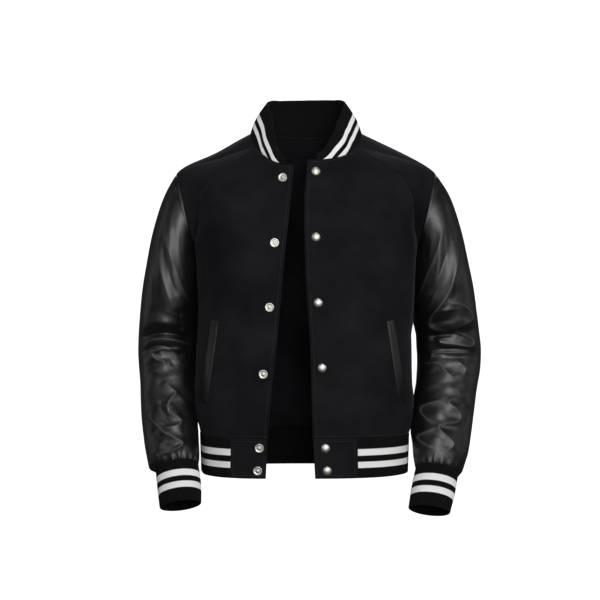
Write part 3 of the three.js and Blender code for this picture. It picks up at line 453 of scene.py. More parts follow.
# Ring angles of the raglan, shoulder and armhole
SHOULDER_NAMES = ["psi", "turn", "rise", "reachIn", "reachOut"]
SHOULDER_FRONT = table(SHOULDER_NAMES, [
    [22, 12, -14, 0.34, 0.22],
    [34, 18, -6, 0.34, 0.24],
    [47, 22, 2, 0.34, 0.26],
    [60, 22, 8, 0.34, 0.28],
    [73, 22, 8, 0.34, 0.30],
    [87, 14, 4, 0.34, 0.32],
    [103, 2, 2, 0.34, 0.34],
    [128, 2, 12, 0.36, 0.36],
    [152, 25, 45, 0.45, 0.45],
    [180, 0, 80, 0.70, 0.70],
])
SHOULDER_NECK = table(["x", "y", "z"] + SHOULDER_NAMES, [
    [91, -46, -22, 22, 12, -14, 0.34, 0.22],
    [97.5, -27, -8, 15, 8, -20, 0.35, 0.20],
    [101.5, -8, 2, 7, 4, -25, 0.36, 0.18],
    [102.5, 10, 8, 0, 0, -27, 0.36, 0.18],
    [99.5, 28, 12, -7, -3, -26, 0.36, 0.18],
    [90, 46, 14, -14, -8, -23, 0.35, 0.20],
    [76, 62, 13, -22, -12, -18, 0.34, 0.22],
])
SHOULDER_BACK = table(SHOULDER_NAMES, [
    [-22, -12, -18, 0.34, 0.22],
    [-34, -18, -8, 0.34, 0.24],
    [-47, -22, 2, 0.34, 0.26],
    [-60, -22, 6, 0.34, 0.28],
    [-73, -22, 6, 0.34, 0.30],
    [-87, -14, 4, 0.34, 0.32],
    [-103, -2, 2, 0.34, 0.34],
    [-128, -2, 12, 0.36, 0.36],
    [-152, -25, 45, 0.45, 0.45],
    [-180, 0, 80, 0.70, 0.70],
])


# Crests and valleys of the leather at the front of each sleeve: raise, width and the corners of
# the line, as distance out from the middle of the body and height. Pillows: raise, size and middle.
CRESTS = {
    "right": [
        (2.6, 9, [(253, -160), (251, -202), (235, -246), (224, -283), (213, -305)]),
        (3.0, 10, [(270, -191), (264, -234), (253, -279), (242, -312)]),
        (-2.2, 7, [(262, -175), (255, -222), (244, -265), (232, -301)]),
        (-3.0, 7, [(233, -315), (228, -338), (225, -360)]),
        (-7.0, 8, [(303, -370), (272, -362), (245, -361), (220, -368), (203, -380)]),
        (4.5, 7, [(298, -379), (270, -372), (245, -373), (215, -382)]),
        (4.0, 5, [(236, -390), (262, -390), (277, -395), (279, -401), (272, -409), (257, -415),
                  (262, -421), (272, -427)]),
        (-3.0, 6, [(290, -389), (262, -384), (232, -400)]),
        (-2.5, 7, [(250, -405), (240, -422), (252, -432)]),
        (4.2, 5.5, [(255, -453), (245, -460), (236, -469), (244, -480), (248, -490), (246, -503),
                    (232, -511), (225, -518), (230, -526), (246, -529), (257, -530)]),
        (4.2, 5.5, [(285, -511), (271, -521), (255, -536), (236, -546), (224, -552), (221, -558),
                    (233, -566), (256, -573)]),
        (-3.0, 6, [(262, -480), (258, -497), (246, -518)]),
        (-3.0, 6, [(278, -533), (262, -545), (240, -556)]),
        (2.5, 5, [(262, -573), (258, -582), (250, -590)]),
    ],
    "left": [
        (4.0, 9, [(249, -165), (236, -212), (220, -256), (207, -299)]),
        (4.8, 8, [(270, -191), (273, -223), (264, -267), (251, -299), (231, -330), (226, -346),
                  (235, -355), (253, -357)]),
        (-2.8, 7, [(257, -205), (241, -256), (225, -299)]),
        (3.2, 8, [(256, -306), (285, -312), (300, -328), (296, -340), (269, -352)]),
        (-5.5, 6, [(222, -366), (245, -364), (268, -361)]),
        (3.8, 4.5, [(274, -360), (297, -369), (304, -378), (296, -386), (269, -382), (249, -380),
                    (244, -375), (253, -371), (274, -368)]),
        (-3.5, 5, [(300, -391), (270, -389), (240, -389)]),
        (3.2, 6, [(229, -408), (235, -398), (264, -397), (296, -398)]),
        (-3.0, 6, [(292, -406), (264, -406), (246, -407)]),
        (3.2, 6, [(220, -417), (242, -417), (253, -431), (264, -440)]),
        (3.2, 6, [(274, -411), (287, -426), (285, -436)]),
        (4.2, 5.5, [(285, -474), (264, -480), (256, -487), (269, -501), (275, -511), (269, -520),
                    (247, -523), (237, -527), (242, -538), (256, -551), (260, -559), (253, -566),
                    (229, -565)]),
        (2.8, 6, [(250, -480), (216, -491), (208, -501), (216, -514), (235, -524)]),
        (2.8, 6, [(235, -528), (205, -543), (202, -551), (216, -561), (229, -565)]),
        (-3.0, 6, [(286, -490), (292, -510), (284, -530)]),
        (-3.0, 6, [(262, -537), (276, -552), (270, -572)]),
    ],
}
PILLOWS = {
    "right": [(3.0, 18, 259, -343), (2.5, 12, 273, -441), (2.2, 9, 243, -440), (3.4, 15, 268, -505),
              (3.2, 13, 258, -557), (2.5, 16, 228, -435), (2.0, 14, 290, -470),
              (2.5, 18, 240, -312)],
    "left": [(3.2, 15, 279, -330), (3.2, 22, 260, -458), (3.4, 13, 238, -502), (3.2, 12, 232, -550),
             (2.4, 14, 290, -455), (2.0, 12, 283, -560), (3.5, 20, 246, -318)],
}
# Behind the arm lie the other sleeve's crests, lower
OTHER_SIDE = {"left": "right", "right": "left"}
REAR_SHARE = 0.7
# How much of the broad folds is left under the crests at the front
BROAD_FOLD_SHARE = 0.40
# Rounding of a crest's top, steps between its corners, and how it fades towards its ends
CREST_ROUNDING = 0.10
CREST_STEPS = 6
CREST_REACH = 6
CREST_END = 0.22
CREST_END_SHARE = 0.25
# The narrow crests are pinched sharp, to this distance from their line
SHARP_WIDTH = 5.5
PINCH_REACH = 8
PINCH_EDGE = 3
FAR_AWAY = 1e9
# The leather sags over the cuff and rolls at the armhole seam
CUFF_SAG = 5
CUFF_SAG_START = 10.8
SEAM_ROLL = 1.1
SEAM_ROLL_RING = 0.14
SEAM_ROLL_WIDTH = 0.09
# Cloth run on past a seam, so that no light shows through it, and more of it under the arm
SEAM_LAP = 0.8
UNDERARM_LAP = 1.9
UNDERARM_LAP_TOP = -98
UNDERARM_LAP_REACH = 25


def crest_reach(corners, place_x, place_z):
    """Signed distance from a crest line, and how full the crest stands at the nearest point."""
    line = np.array(corners, dtype=float)
    rows = {"x": line[:, 0], "z": line[:, 1]}
    t = np.linspace(0, len(line) - 1, CREST_STEPS * (len(line) - 1) + 1)
    lx, lz = column(rows, "x", t), column(rows, "z", t)
    nearest = np.full(place_x.shape, FAR_AWAY)
    along = np.zeros(place_x.shape)
    for k in range(len(t) - 1):
        dx, dz = lx[k + 1] - lx[k], lz[k + 1] - lz[k]
        f = ((place_x - lx[k]) * dx + (place_z - lz[k]) * dz) / (dx * dx + dz * dz)
        f = np.clip(f, 0, 1)
        away_x, away_z = place_x - lx[k] - f * dx, place_z - lz[k] - f * dz
        away = np.hypot(away_x, away_z) * np.where(away_x * dz - away_z * dx < 0, -1, 1)
        closer = np.abs(away) < np.abs(nearest)
        nearest = np.where(closer, away, nearest)
        along = np.where(closer, (k + f) / (len(t) - 1), along)
    to_end = np.minimum(along, 1 - along)
    fade = CREST_END_SHARE + (1 - CREST_END_SHARE) * ease(to_end, 0, CREST_END)
    return nearest, fade


def crest_heights(side, place_x, place_z):
    """Height of the crests and pillows at places given as seen from the front."""
    height = np.zeros(place_x.shape)
    for lift, width, corners in CRESTS[side]:
        nearest, fade = crest_reach(corners, place_x, place_z)
        rounded = np.sqrt((nearest / width) ** 2 + CREST_ROUNDING ** 2) - CREST_ROUNDING
        height += lift * fade * np.exp(-rounded) * (np.abs(nearest) < CREST_REACH * width)
    for lift, size, x, z in PILLOWS[side]:
        height += lift * np.exp(-((place_x - x) ** 2 + (place_z - z) ** 2) / size ** 2)
    return height


def crest_marks(side, place_x, place_z):
    """Distance from the nearest raised crest line and how sharply it is pinched there."""
    mark = np.full(place_x.shape, FAR_AWAY)
    pinch = np.zeros(place_x.shape)
    for lift, width, corners in CRESTS[side]:
        if lift <= 0:
            continue
        nearest, fade = crest_reach(corners, place_x, place_z)
        sharp = fade * min(1, SHARP_WIDTH / width) ** 2
        closer = np.abs(nearest) < np.abs(mark)
        mark = np.where(closer, nearest, mark)
        pinch = np.where(closer, sharp, pinch)
    pinch *= ease(PINCH_REACH - np.abs(mark), 0, PINCH_EDGE)
    return np.clip(mark, -PINCH_REACH, PINCH_REACH), pinch


# Where sleeve and side press close: the sleeve's inner wall moves in, the panel's edge moves out.
# The sleeve's wall moves most at one angle round the arm.
PRESS_ANGLE = 203
PRESS_SPREAD = 36
PRESS = table(["z", "leftIn", "leftOut", "rightIn", "rightOut"], [
    [-165, 0, 0, 0, 0],
    [-194, 4, 6.5, 4, 6.5],
    [-206, 8, 8.5, 8, 8.5],
    [-222, 7.5, 7, 7, 7],
    [-240, 7, 6, 6, 6],
    [-300, 8.5, 6.5, 6.5, 6],
    [-345, 6, 5, 7, 6],
    [-365, 1, 1, 6.5, 5.5],
    [-400, -1, 0, 5, 5],
    [-455, 0, 0, 4, 4.5],
    [-485, 5, 4, 4, 4.5],
    [-507, 6, 4.6, 3.4, 3.8],
    [-520, 6.5, 5, 1.5, 1.5],
    [-530, 5.5, 4, -0.6, -0.6],
    [-543, 4, 2, -1.6, -1.6],
    [-560, 0, 0, -1.6, -1.6],
    [-585, 0, 0, 0, 0],
])
# Extra fullness of the outer side of the forearms
FULLNESS = table(["z", "left", "right"], [
    [-320, 0, 0],
    [-380, 2.5, 0],
    [-440, 5, 0],
    [-500, 5, 1.5],
    [-550, 5, 4],
    [-578, 5.5, 6.5],
    [-600, 3.5, 8],
    [-612, 1.5, 4],
])


def armhole_points(side, psi):
    grid = ring_points(SLEEVE, side, 0 * np.asarray(psi, float), psi)
    grid[..., 0] -= SIDES[side] * ARMHOLE_BOW * np.sin(np.radians(psi)) ** 2
    return grid


def sleeve_quiet(v):
    """Share of the crests left near the seams of a sleeve."""
    return ease(v, 0.2, 0.8) * ease(CUFF_SEAM_RING - v, 0, 0.9)


def sleeve_points(side, v, psi):
    v, psi = np.broadcast_arrays(np.asarray(v, float), np.asarray(psi, float))
    turn = np.mod(psi + 360, 360)
    out, forward = np.cos(np.radians(psi)), np.sin(np.radians(psi))
    smooth_ring = ring_points(SLEEVE, side, v, psi)
    place_x, place_z = np.abs(smooth_ring[..., 0]), smooth_ring[..., 2]
    to_cuff = CUFF_SEAM_RING - v

    # Broad folds and creases
    plain = smooth_step((1 + out) / 0.5) * ease(v, 0.3, 1.4) * ease(to_cuff, 0, 1.2)
    grow = plain * (
        fold_height(SLEEVE_FOLDS[side], v, turn, SLEEVE_MM_PER_ROW, SLEEVE_MM_PER_DEGREE, MAIN_FOLD_SHARPEN)
        + fold_height(SLEEVE_CREASES[side], v, turn, SLEEVE_MM_PER_ROW, SLEEVE_MM_PER_DEGREE)
    )

    # Crests before and behind
    front, rear = ease(forward, -0.1, 0.5), smooth_step((0.1 - forward) / 0.5)
    seen = crest_heights(side, place_x, place_z)
    hidden = crest_heights(OTHER_SIDE[side], place_x, place_z)
    grow = grow * (1 - (1 - BROAD_FOLD_SHARE) * front)
    grow += (seen * front + REAR_SHARE * hidden * rear) * sleeve_quiet(v)

    # Full forearm, roll at the armhole and gathers above the cuff
    grow += look_up(FULLNESS, "z", side, place_z) * ease(to_cuff, 0, 0.35) * np.clip(out, 0, 1) ** 1.5
    off_tip = ease(np.abs(forward), 0.25, 0.4)
    grow += SEAM_ROLL * off_tip * np.exp(-((v - SEAM_ROLL_RING) / SEAM_ROLL_WIDTH) ** 2)
    gather = ease(v, GATHER_START, CUFF_SEAM_RING - GATHER_START)
    wave = np.radians(psi) * GATHER_COUNT
    wave += 0.9 * np.sin(np.radians(3 * psi)) + 0.5 * np.sin(np.radians(7 * psi))
    grow += GATHER_RAISE * gather ** 2 * np.sin(wave) * (0.75 + 0.25 * np.sin(np.radians(5 * psi)))

    grid = ring_points(SLEEVE, side, v, psi, grow)
    bow = ARMHOLE_BOW * forward ** 2 * np.maximum(0, 1 - v)
    press = look_up(PRESS, "z", side + "In", place_z) * ease(v, 0, 0.5)
    press *= np.exp(-((turn - PRESS_ANGLE) / PRESS_SPREAD) ** 2)
    grid[..., 0] -= SIDES[side] * (bow + press)
    sag = ease(v, CUFF_SAG_START, CUFF_SEAM_RING - CUFF_SAG_START)
    grid[..., 2] -= CUFF_SAG * (0.5 + 0.5 * out) * sag
    return grid


def neck_crest(side, v):
    """Edge of the neck over the shoulder, from the front raglan seam to the back one."""
    at = lambda name: column(SHOULDER_NECK, name, v)
    return points(SIDES[side] * at("x"), at("y"), at("z"))


def shoulder_stations(side):
    """Seam point, ring angle, heading and reaches, round from the underarm over the neck."""
    rows = raglan_rows()
    neck = np.linspace(0, 6, NECK_STEPS + 1)
    parts = []
    for source, v, seam in (
        (SHOULDER_FRONT, rows[::-1][:-1], "front"),
        (SHOULDER_NECK, neck[:-1], "neck"),
        (SHOULDER_BACK, rows[:-1], "back"),
    ):
        if seam == "front":
            point = front_points(side, v, 1.0)
        elif seam == "back":
            point = back_points(side, v, 1.0)
        else:
            point = neck_crest(side, v)
        way = heading(column(source, "turn", v), column(source, "rise", v))
        way[..., 0] *= SIDES[side]
        parts.append((point, column(source, "psi", v), way,
                      column(source, "reachIn", v), column(source, "reachOut", v)))
    return [np.concatenate([part[k] for part in parts]) for k in range(5)]


def lap_first_row(grid):
    """Run the first row on a little, so that no light shows through the seam."""
    way = grid[0] - grid[1]
    near_underarm = smooth_step((UNDERARM_LAP_TOP - grid[0, :, 2:]) / UNDERARM_LAP_REACH)
    lap = SEAM_LAP + UNDERARM_LAP * near_underarm
    grid[0] += way / np.linalg.norm(way, axis=-1, keepdims=True) * lap


def shoulder_grid(side):
    start, psi, way, reach_in, reach_out = shoulder_stations(side)
    end = armhole_points(side, psi)
    end_way = sleeve_points(side, 0.6 + 0 * psi, psi) - end
    end_way /= np.linalg.norm(end_way, axis=-1)[..., None]
    u = np.linspace(0, 1, SHOULDER_COLUMNS + 1)[:, None] + 0 * psi[None, :]
    tile = lambda a: np.broadcast_to(a, u.shape + a.shape[1:])
    return span(tile(start), tile(way), tile(reach_in), tile(end), tile(end_way), tile(reach_out), u)


def grid_normals(grid, ring):
    """Unit normals of a grid of points."""
    down = np.gradient(grid, axis=0)
    if ring:
        wide = np.concatenate([grid[:, -1:], grid, grid[:, :1]], axis=1)
        across = np.gradient(wide, axis=1)[:, 1:-1]
    else:
        across = np.gradient(grid, axis=1)
    normals = np.cross(across, down)
    return normals / np.maximum(np.linalg.norm(normals, axis=-1)[..., None], 1e-9)


def run_along(grid, axis):
    """Distance in metres along rows or columns."""
    step = np.linalg.norm(np.diff(grid, axis=axis), axis=-1) * MM
    start = np.zeros_like(step[:1] if axis == 0 else step[:, :1])
    return np.concatenate([start, np.cumsum(step, axis=axis)], axis=axis)


def groove(grid, normals, edges):
    """Sink the cloth into its seams: edges names the sewn edges."""
    down = run_along(grid, 0) / MM
    across = run_along(grid, 1) / MM
    away = np.full(grid.shape[:2], 1e3)
    if "top" in edges:
        away = np.minimum(away, down)
    if "bottom" in edges:
        away = np.minimum(away, down[-1:] - down)
    if "first" in edges:
        away = np.minimum(away, across)
    if "last" in edges:
        away = np.minimum(away, across[:, -1:] - across)
    sink = GROOVE_DEPTH * np.exp(-(away / GROOVE_REACH) ** 2)
    return grid - normals * sink[..., None]


def outward(grid, normals, heart):
    """Normals turned away from the hollow's middle."""
    side = np.sum(normals * (grid - heart(grid)), axis=-1).sum()
    return normals if side > 0 else -normals


def grid_faces(rows, columns, ring, first):
    i, j = np.meshgrid(np.arange(rows - 1), np.arange(columns if ring else columns - 1), indexing="ij")
    k = (j + 1) % columns
    at = lambda r, c: first + r * columns + c
    return np.stack([at(i, j), at(i, k), at(i + 1, k), at(i + 1, j)], axis=-1).reshape(-1, 4)


def make_mesh(name, vertices, faces, material, attributes=None):
    mesh = bpy.data.meshes.new(name)
    mesh.from_pydata([tuple(p) for p in vertices], [], [tuple(int(i) for i in face) for face in faces])
    for key, values in (attributes or {}).items():
        layer = mesh.attributes.new(key, "FLOAT", "POINT")
        layer.data.foreach_set("value", np.asarray(values, dtype=np.float32))
    mesh.materials.append(material)
    mesh.validate()
    piece = bpy.data.objects.new(name, mesh)
    bpy.context.scene.collection.objects.link(piece)
    mesh.shade_smooth()
    return piece


def shell(name, grid, ring, thickness, heart, material, sewn=(), inner=None, marks=None):
    """Closed cloth wall from its outer face, with distances along and across kept."""
    normals = outward(grid, grid_normals(grid, ring), heart)
    along, across = run_along(grid, 0), run_along(grid, 1)
    grid = groove(grid, normals, sewn)
    inside = grid - normals * thickness if inner is None else inner
    rows, columns = grid.shape[:2]
    count = rows * columns
    vertices = np.concatenate([grid.reshape(-1, 3), inside.reshape(-1, 3)]) * MM
    outer_faces = grid_faces(rows, columns, ring, 0)
    inner_faces = grid_faces(rows, columns, ring, count)[:, ::-1]
    rims = []
    last = (rows - 1) * columns
    for j in range(columns if ring else columns - 1):
        k = (j + 1) % columns
        rims.append([k, j, count + j, count + k])
        rims.append([last + j, last + k, count + last + k, count + last + j])
    if not ring:
        for i in range(rows - 1):
            a, b = i * columns, (i + 1) * columns
            rims.append([a, b, count + b, count + a])
            a, b = a + columns - 1, b + columns - 1
            rims.append([b, a, count + a, count + b])
    faces = np.concatenate([outer_faces, inner_faces, np.array(rims)])
    middle = grid[rows // 2, columns // 2]
    first = outer_faces[(rows // 2) * (columns if ring else columns - 1) + columns // 2]
    a, b, c = (grid.reshape(-1, 3)[k] for k in first[:3])
    facing = np.dot(np.cross(b - a, c - a), normals[rows // 2, columns // 2])
    if facing < 0:
        faces = faces[:, ::-1]
    both = lambda values: np.concatenate([values.reshape(-1), values.reshape(-1)])
    attributes = {
        "along": both(along), "across": both(across),
        "inside": np.concatenate([np.zeros(count), np.ones(count)]),
    }
    for key, values in (marks or {}).items():
        attributes[key] = np.concatenate([values.reshape(-1), np.zeros(count)])
    piece = make_mesh(name, vertices, faces, material, attributes)
    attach(piece, "root")
    return piece, grid, normals


# Node tools for materials
def new_material(name):
    material = bpy.data.materials.new(name)
    material.use_nodes = True
    nodes = material.node_tree.nodes
    nodes.clear()
    output = nodes.new("ShaderNodeOutputMaterial")
    shader = nodes.new("ShaderNodeBsdfPrincipled")
    material.node_tree.links.new(shader.outputs["BSDF"], output.inputs["Surface"])
    return material, shader


def connect(material, node, inputs):
    """Link inputs to the outputs of other nodes, or set their values."""
    for key, value in inputs.items():
        if hasattr(value, "is_output"):
            material.node_tree.links.new(value, node.inputs[key])
        else:
            node.inputs[key].default_value = value


def add(material, kind, inputs=None, **settings):
    node = material.node_tree.nodes.new(kind)
    for key, value in settings.items():
        setattr(node, key, value)
    connect(material, node, inputs or {})
    return node


def maths(material, operation, *values):
    return add(material, "ShaderNodeMath", dict(enumerate(values)), operation=operation).outputs[0]


def noise(material, vector, scale, detail=4.0, roughness=0.6):
    return add(material, "ShaderNodeTexNoise",
               {"Vector": vector, "Scale": scale, "Detail": detail, "Roughness": roughness}).outputs["Fac"]


def pebble(material, vector, scale, reach):
    """Rounded cells with a dip, a share of a cell wide, between them."""
    cells = add(material, "ShaderNodeTexVoronoi", {"Vector": vector, "Scale": scale},
                feature="DISTANCE_TO_EDGE")
    return ramp(material, cells.outputs["Distance"], 0.0, reach)


def blend_colours(material, factor, first, second):
    return add(material, "ShaderNodeMix", {0: factor, 6: first, 7: second}, data_type="RGBA").outputs[2]


def ramp(material, value, low, high):
    node = add(material, "ShaderNodeMapRange", {"Value": value, "From Min": low, "From Max": high})
    node.interpolation_type = "SMOOTHSTEP"
    return node.outputs["Result"]


def spread(material, value, low, high, least, most):
    """A value between low and high, spread from least to most."""
    inputs = {"Value": value, "From Min": low, "From Max": high, "To Min": least, "To Max": most}
    return add(material, "ShaderNodeMapRange", inputs).outputs["Result"]


def bump(material, shader, height, distance, strength, before=None):
    inputs = {"Height": height, "Distance": distance, "Strength": strength}
    if before is not None:
        inputs["Normal"] = before
    normal = add(material, "ShaderNodeBump", inputs).outputs["Normal"]
    connect(material, shader, {"Normal": normal})
    return normal


def object_place(material):
    return add(material, "ShaderNodeTexCoord").outputs["Object"]


def attribute(material, name):
    return add(material, "ShaderNodeAttribute", attribute_name=name).outputs["Fac"]


# Each material's colour runs between its two tones
WOOL_TONES = (0.0038, 0.0036, 0.0046, 1), (0.0125, 0.0118, 0.0140, 1)
LEATHER_TONES = (0.0022, 0.0022, 0.0024, 1), (0.0050, 0.0048, 0.0050, 1)
# Painted highlight: the pale colour laid along the sharp crests of the leather
LEATHER_PAINTED_HIGHLIGHT = (0.075, 0.075, 0.075, 1)
CREST_EDGE = 1.3
KNIT_BLACKS = (0.0022, 0.0022, 0.0024, 1), (0.0060, 0.0060, 0.0064, 1)
KNIT_WHITES = (0.60, 0.59, 0.58, 1), (0.88, 0.87, 0.86, 1)
THREAD_TONES = (0.004, 0.004, 0.0045, 1), (0.012, 0.012, 0.013, 1)
SNAP_TONES = (0.52, 0.505, 0.475, 1), (0.26, 0.25, 0.225, 1)

# Knit measures in metres
STRIPE_BLUR = 0.0002
STRIPE_WOBBLE = 0.0006
COURSE_WAVES = 2 * math.pi / 0.0011
WALE_WAVES = 2 * math.pi / 0.0012


def wool_material():
    """Melton: felted fibres lying every way, a soft nap and a faint fleck."""
    material, shader = new_material("wool_melton")
    place = object_place(material)
    cloud = noise(material, place, 9.0, 3.0)
    fleck = noise(material, place, 1400.0, 3.0, 0.8)
    felt = noise(material, place, 420.0, 6.0, 0.75)
    tone = maths(material, "MULTIPLY_ADD", fleck, 0.55, maths(material, "MULTIPLY", cloud, 0.45))
    connect(material, shader, {
        "Base Color": blend_colours(material, ramp(material, tone, 0.34, 0.68), *WOOL_TONES),
        "Roughness": 0.95, "Specular IOR Level": 0.05,
        "Sheen Weight": 0.045, "Sheen Roughness": 0.45, "Sheen Tint": (0.75, 0.77, 0.85, 1),
    })
    height = maths(material, "MULTIPLY_ADD", fleck, 0.35, felt)
    bump(material, shader, height, 0.00045, 0.55)
    return material


def leather_material():
    """Soft grained hide: pebbled grain, fine creases, a semi-gloss finish and a painted highlight along the
    sharp crests.
    """
    material, shader = new_material("leather")
    place = object_place(material)
    cloud = noise(material, place, 14.0, 4.0)
    broad = noise(material, place, 45.0, 5.0, 0.65)
    worn = maths(material, "MULTIPLY_ADD", broad, 0.5, maths(material, "MULTIPLY", cloud, 0.5))
    colour = blend_colours(material, ramp(material, worn, 0.42, 0.62), *LEATHER_TONES)
    away = maths(material, "ABSOLUTE", attribute(material, "crest"))
    fall = maths(material, "EXPONENT", maths(material, "MULTIPLY", away, -1 / CREST_EDGE))
    sharp = maths(material, "MULTIPLY", fall, attribute(material, "pinch"))
    # Painted highlight: the base colour is lightened along the sharp crests
    painted_highlight = maths(material, "MULTIPLY", sharp, 0.75)
    connect(material, shader, {
        "Base Color": blend_colours(material, painted_highlight, colour, LEATHER_PAINTED_HIGHLIGHT),
        "Roughness": spread(material, cloud, 0.35, 0.65, 0.33, 0.43),
        "Specular IOR Level": 0.5, "Coat Weight": 0.08, "Coat Roughness": 0.32,
    })
    ridge = bump(material, shader, sharp, 0.0010, 0.8)
    wrinkled = bump(material, shader, noise(material, place, 130.0, 4.0, 0.6), 0.0010, 0.14, ridge)
    grain = maths(material, "MULTIPLY_ADD", pebble(material, place, 1500.0, 0.15), 0.4,
                  pebble(material, place, 620.0, 0.12))
    bump(material, shader, grain, 0.00014, 0.35, wrinkled)
    return material


def knit_material(name, stripes):
    """Rib knit with pale stripes between given distances along it, in metres; its inner face is left plain
    black as painted shade.
    """
    material, shader = new_material(name)
    place = object_place(material)
    along, across = attribute(material, "along"), attribute(material, "across")
    wobble = noise(material, place, 900.0, 2.0)
    edge = maths(material, "MULTIPLY_ADD", wobble, STRIPE_WOBBLE,
                 maths(material, "SUBTRACT", along, STRIPE_WOBBLE / 2))
    stripe = None
    for low, high in stripes:
        begun = ramp(material, edge, low - STRIPE_BLUR, low + STRIPE_BLUR)
        ended = ramp(material, edge, high - STRIPE_BLUR, high + STRIPE_BLUR)
        within = maths(material, "MULTIPLY", begun, maths(material, "SUBTRACT", 1.0, ended))
        stripe = within if stripe is None else maths(material, "MAXIMUM", stripe, within)
    # Painted shade: the stripes are left off the inner face, which stays plain black
    outside = maths(material, "SUBTRACT", 1.0, attribute(material, "inside"))
    stripe = maths(material, "MULTIPLY", stripe, outside)
    fleck = noise(material, place, 1100.0, 3.0, 0.7)
    connect(material, shader, {
        "Base Color": blend_colours(material, stripe, blend_colours(material, fleck, *KNIT_BLACKS),
                                    blend_colours(material, fleck, *KNIT_WHITES)),
        "Roughness": 0.9, "Specular IOR Level": 0.06, "Sheen Weight": 0.02, "Sheen Roughness": 0.5,
    })
    # Knit stitches: short courses down each rib
    down = maths(material, "MULTIPLY", along, COURSE_WAVES)
    course = maths(material, "SINE", down)
    slant = maths(material, "SINE", maths(material, "MULTIPLY_ADD", across, WALE_WAVES, down))
    courses = maths(material, "MULTIPLY_ADD", course, 0.5, fleck)
    height = maths(material, "MULTIPLY_ADD", slant, 0.5, courses)
    bump(material, shader, height, 0.00018, 0.6)
    return material


def thread_material():
    material, shader = new_material("thread")
    twist = noise(material, object_place(material), 2600.0, 2.0)
    colour = blend_colours(material, twist, *THREAD_TONES)
    connect(material, shader, {"Base Color": colour, "Roughness": 0.6})
    bump(material, shader, twist, 0.0001, 0.5)
    return material


def snap_material():
    """Plated brass: polished, with faint turning marks and a little tarnish."""
    material, shader = new_material("snap_plating")
    place = object_place(material)
    tarnish = noise(material, place, 260.0, 4.0)
    connect(material, shader, {
        "Base Color": blend_colours(material, ramp(material, tarnish, 0.35, 0.8), *SNAP_TONES),
        "Metallic": 1.0, "Roughness": spread(material, tarnish, 0.3, 0.7, 0.40, 0.50),
    })
    bump(material, shader, noise(material, place, 900.0, 2.0), 0.00005, 0.3)
    return material


wool = wool_material()
leather = leather_material()
thread = thread_material()
plating = snap_material()

# Middle of the hollow at each height, to tell outward from inward
SHOULDER_HEART = (170, -140)


def trunk_heart(grid):
    return points(0, 0, grid[..., 2])


def limb_heart(rows, side):
    def heart(grid):
        z = grid[..., 2]
        return points(SIDES[side] * look_up(rows, "z", "x", z), look_up(rows, "z", "y", z), z)
    return heart


def shoulder_heart(side):
    x, z = SHOULDER_HEART
    return lambda grid: points(SIDES[side] * x + 0 * grid[..., 0], 0, z)


# The right shoulder sits a little lower than the left
SHOULDER_SETTLE = 6
SETTLE_X, SETTLE_SPREAD = -172, 42
SETTLE_FROM_Z, SETTLE_REACH = -135, 90

raw = {}
grids = {}


def settled(grid):
    x, z = grid[..., 0], grid[..., 2]
    lower = grid.copy()
    near = np.exp(-((x - SETTLE_X) / SETTLE_SPREAD) ** 2) * ease(z, SETTLE_FROM_Z, SETTLE_REACH)
    lower[..., 2] -= SHOULDER_SETTLE * near
    return lower


def cloth_piece(name, grid, ring, thickness, heart, material, sewn, marks=None):
    grid = settled(grid)
    raw[name] = grid
    piece, outer, normals = shell(name + "_cloth", grid, ring, thickness, heart, material, sewn,
                                  marks=marks)
    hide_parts(name)
    grids[name] = (outer, normals)


# Fronts and back
rows = panel_rows()[:, None]
u_front = np.linspace(0, 1, FRONT_COLUMNS + 1)[None, :]
for side in SIDES:
    cloth_piece("front_" + side, front_points(side, rows, u_front), False, WOOL_WALL, trunk_heart, wool,
                ("top", "bottom", "last"))
half = np.linspace(0, 1, BACK_COLUMNS // 2 + 1)[None, :]
right_back, left_back = back_points("right", rows, half[:, ::-1]), back_points("left", rows, half[:, 1:])
back_grid = np.concatenate([right_back, left_back], axis=1)
cloth_piece("back", back_grid, False, WOOL_WALL, trunk_heart, wool,
            ("top", "bottom", "first", "last"))

# Shoulders and sleeves
sleeve_v = np.concatenate(
    [np.linspace(first, last, count, endpoint=False) for first, last, count in SLEEVE_STRETCHES]
    + [[CUFF_SEAM_RING]])[:, None]
sleeve_psi = np.linspace(0, 360, SLEEVE_COLUMNS, endpoint=False)[None, :]


def sleeve_marks(side):
    """Crest marks of a sleeve: its own before the arm, the other sleeve's behind it."""
    forward = np.sin(np.radians(sleeve_psi))
    ring = ring_points(SLEEVE, side, sleeve_v, sleeve_psi)
    seen = np.broadcast_to(forward > 0, ring.shape[:2])
    place_x, place_z = np.abs(ring[..., 0]), ring[..., 2]
    before = crest_marks(side, place_x, place_z)
    behind = crest_marks(OTHER_SIDE[side], place_x, place_z)
    mark, pinch = (np.where(seen, before[k], behind[k]) for k in range(2))
    return {"crest": mark, "pinch": pinch * ease(np.abs(forward), 0.1, 0.4) * sleeve_quiet(sleeve_v)}


for side in SIDES:
    grid = shoulder_grid(side)
    lap_first_row(grid)
    cloth_piece("shoulder_" + side, grid, True, WOOL_WALL, shoulder_heart(side), wool,
                ("top", "bottom"))
    grid = sleeve_points(side, sleeve_v, sleeve_psi)
    lap_first_row(grid)
    cloth_piece("sleeve_" + side, grid, True, LEATHER_WALL, limb_heart(SLEEVE, side), leather,
                ("top", "bottom"), sleeve_marks(side))

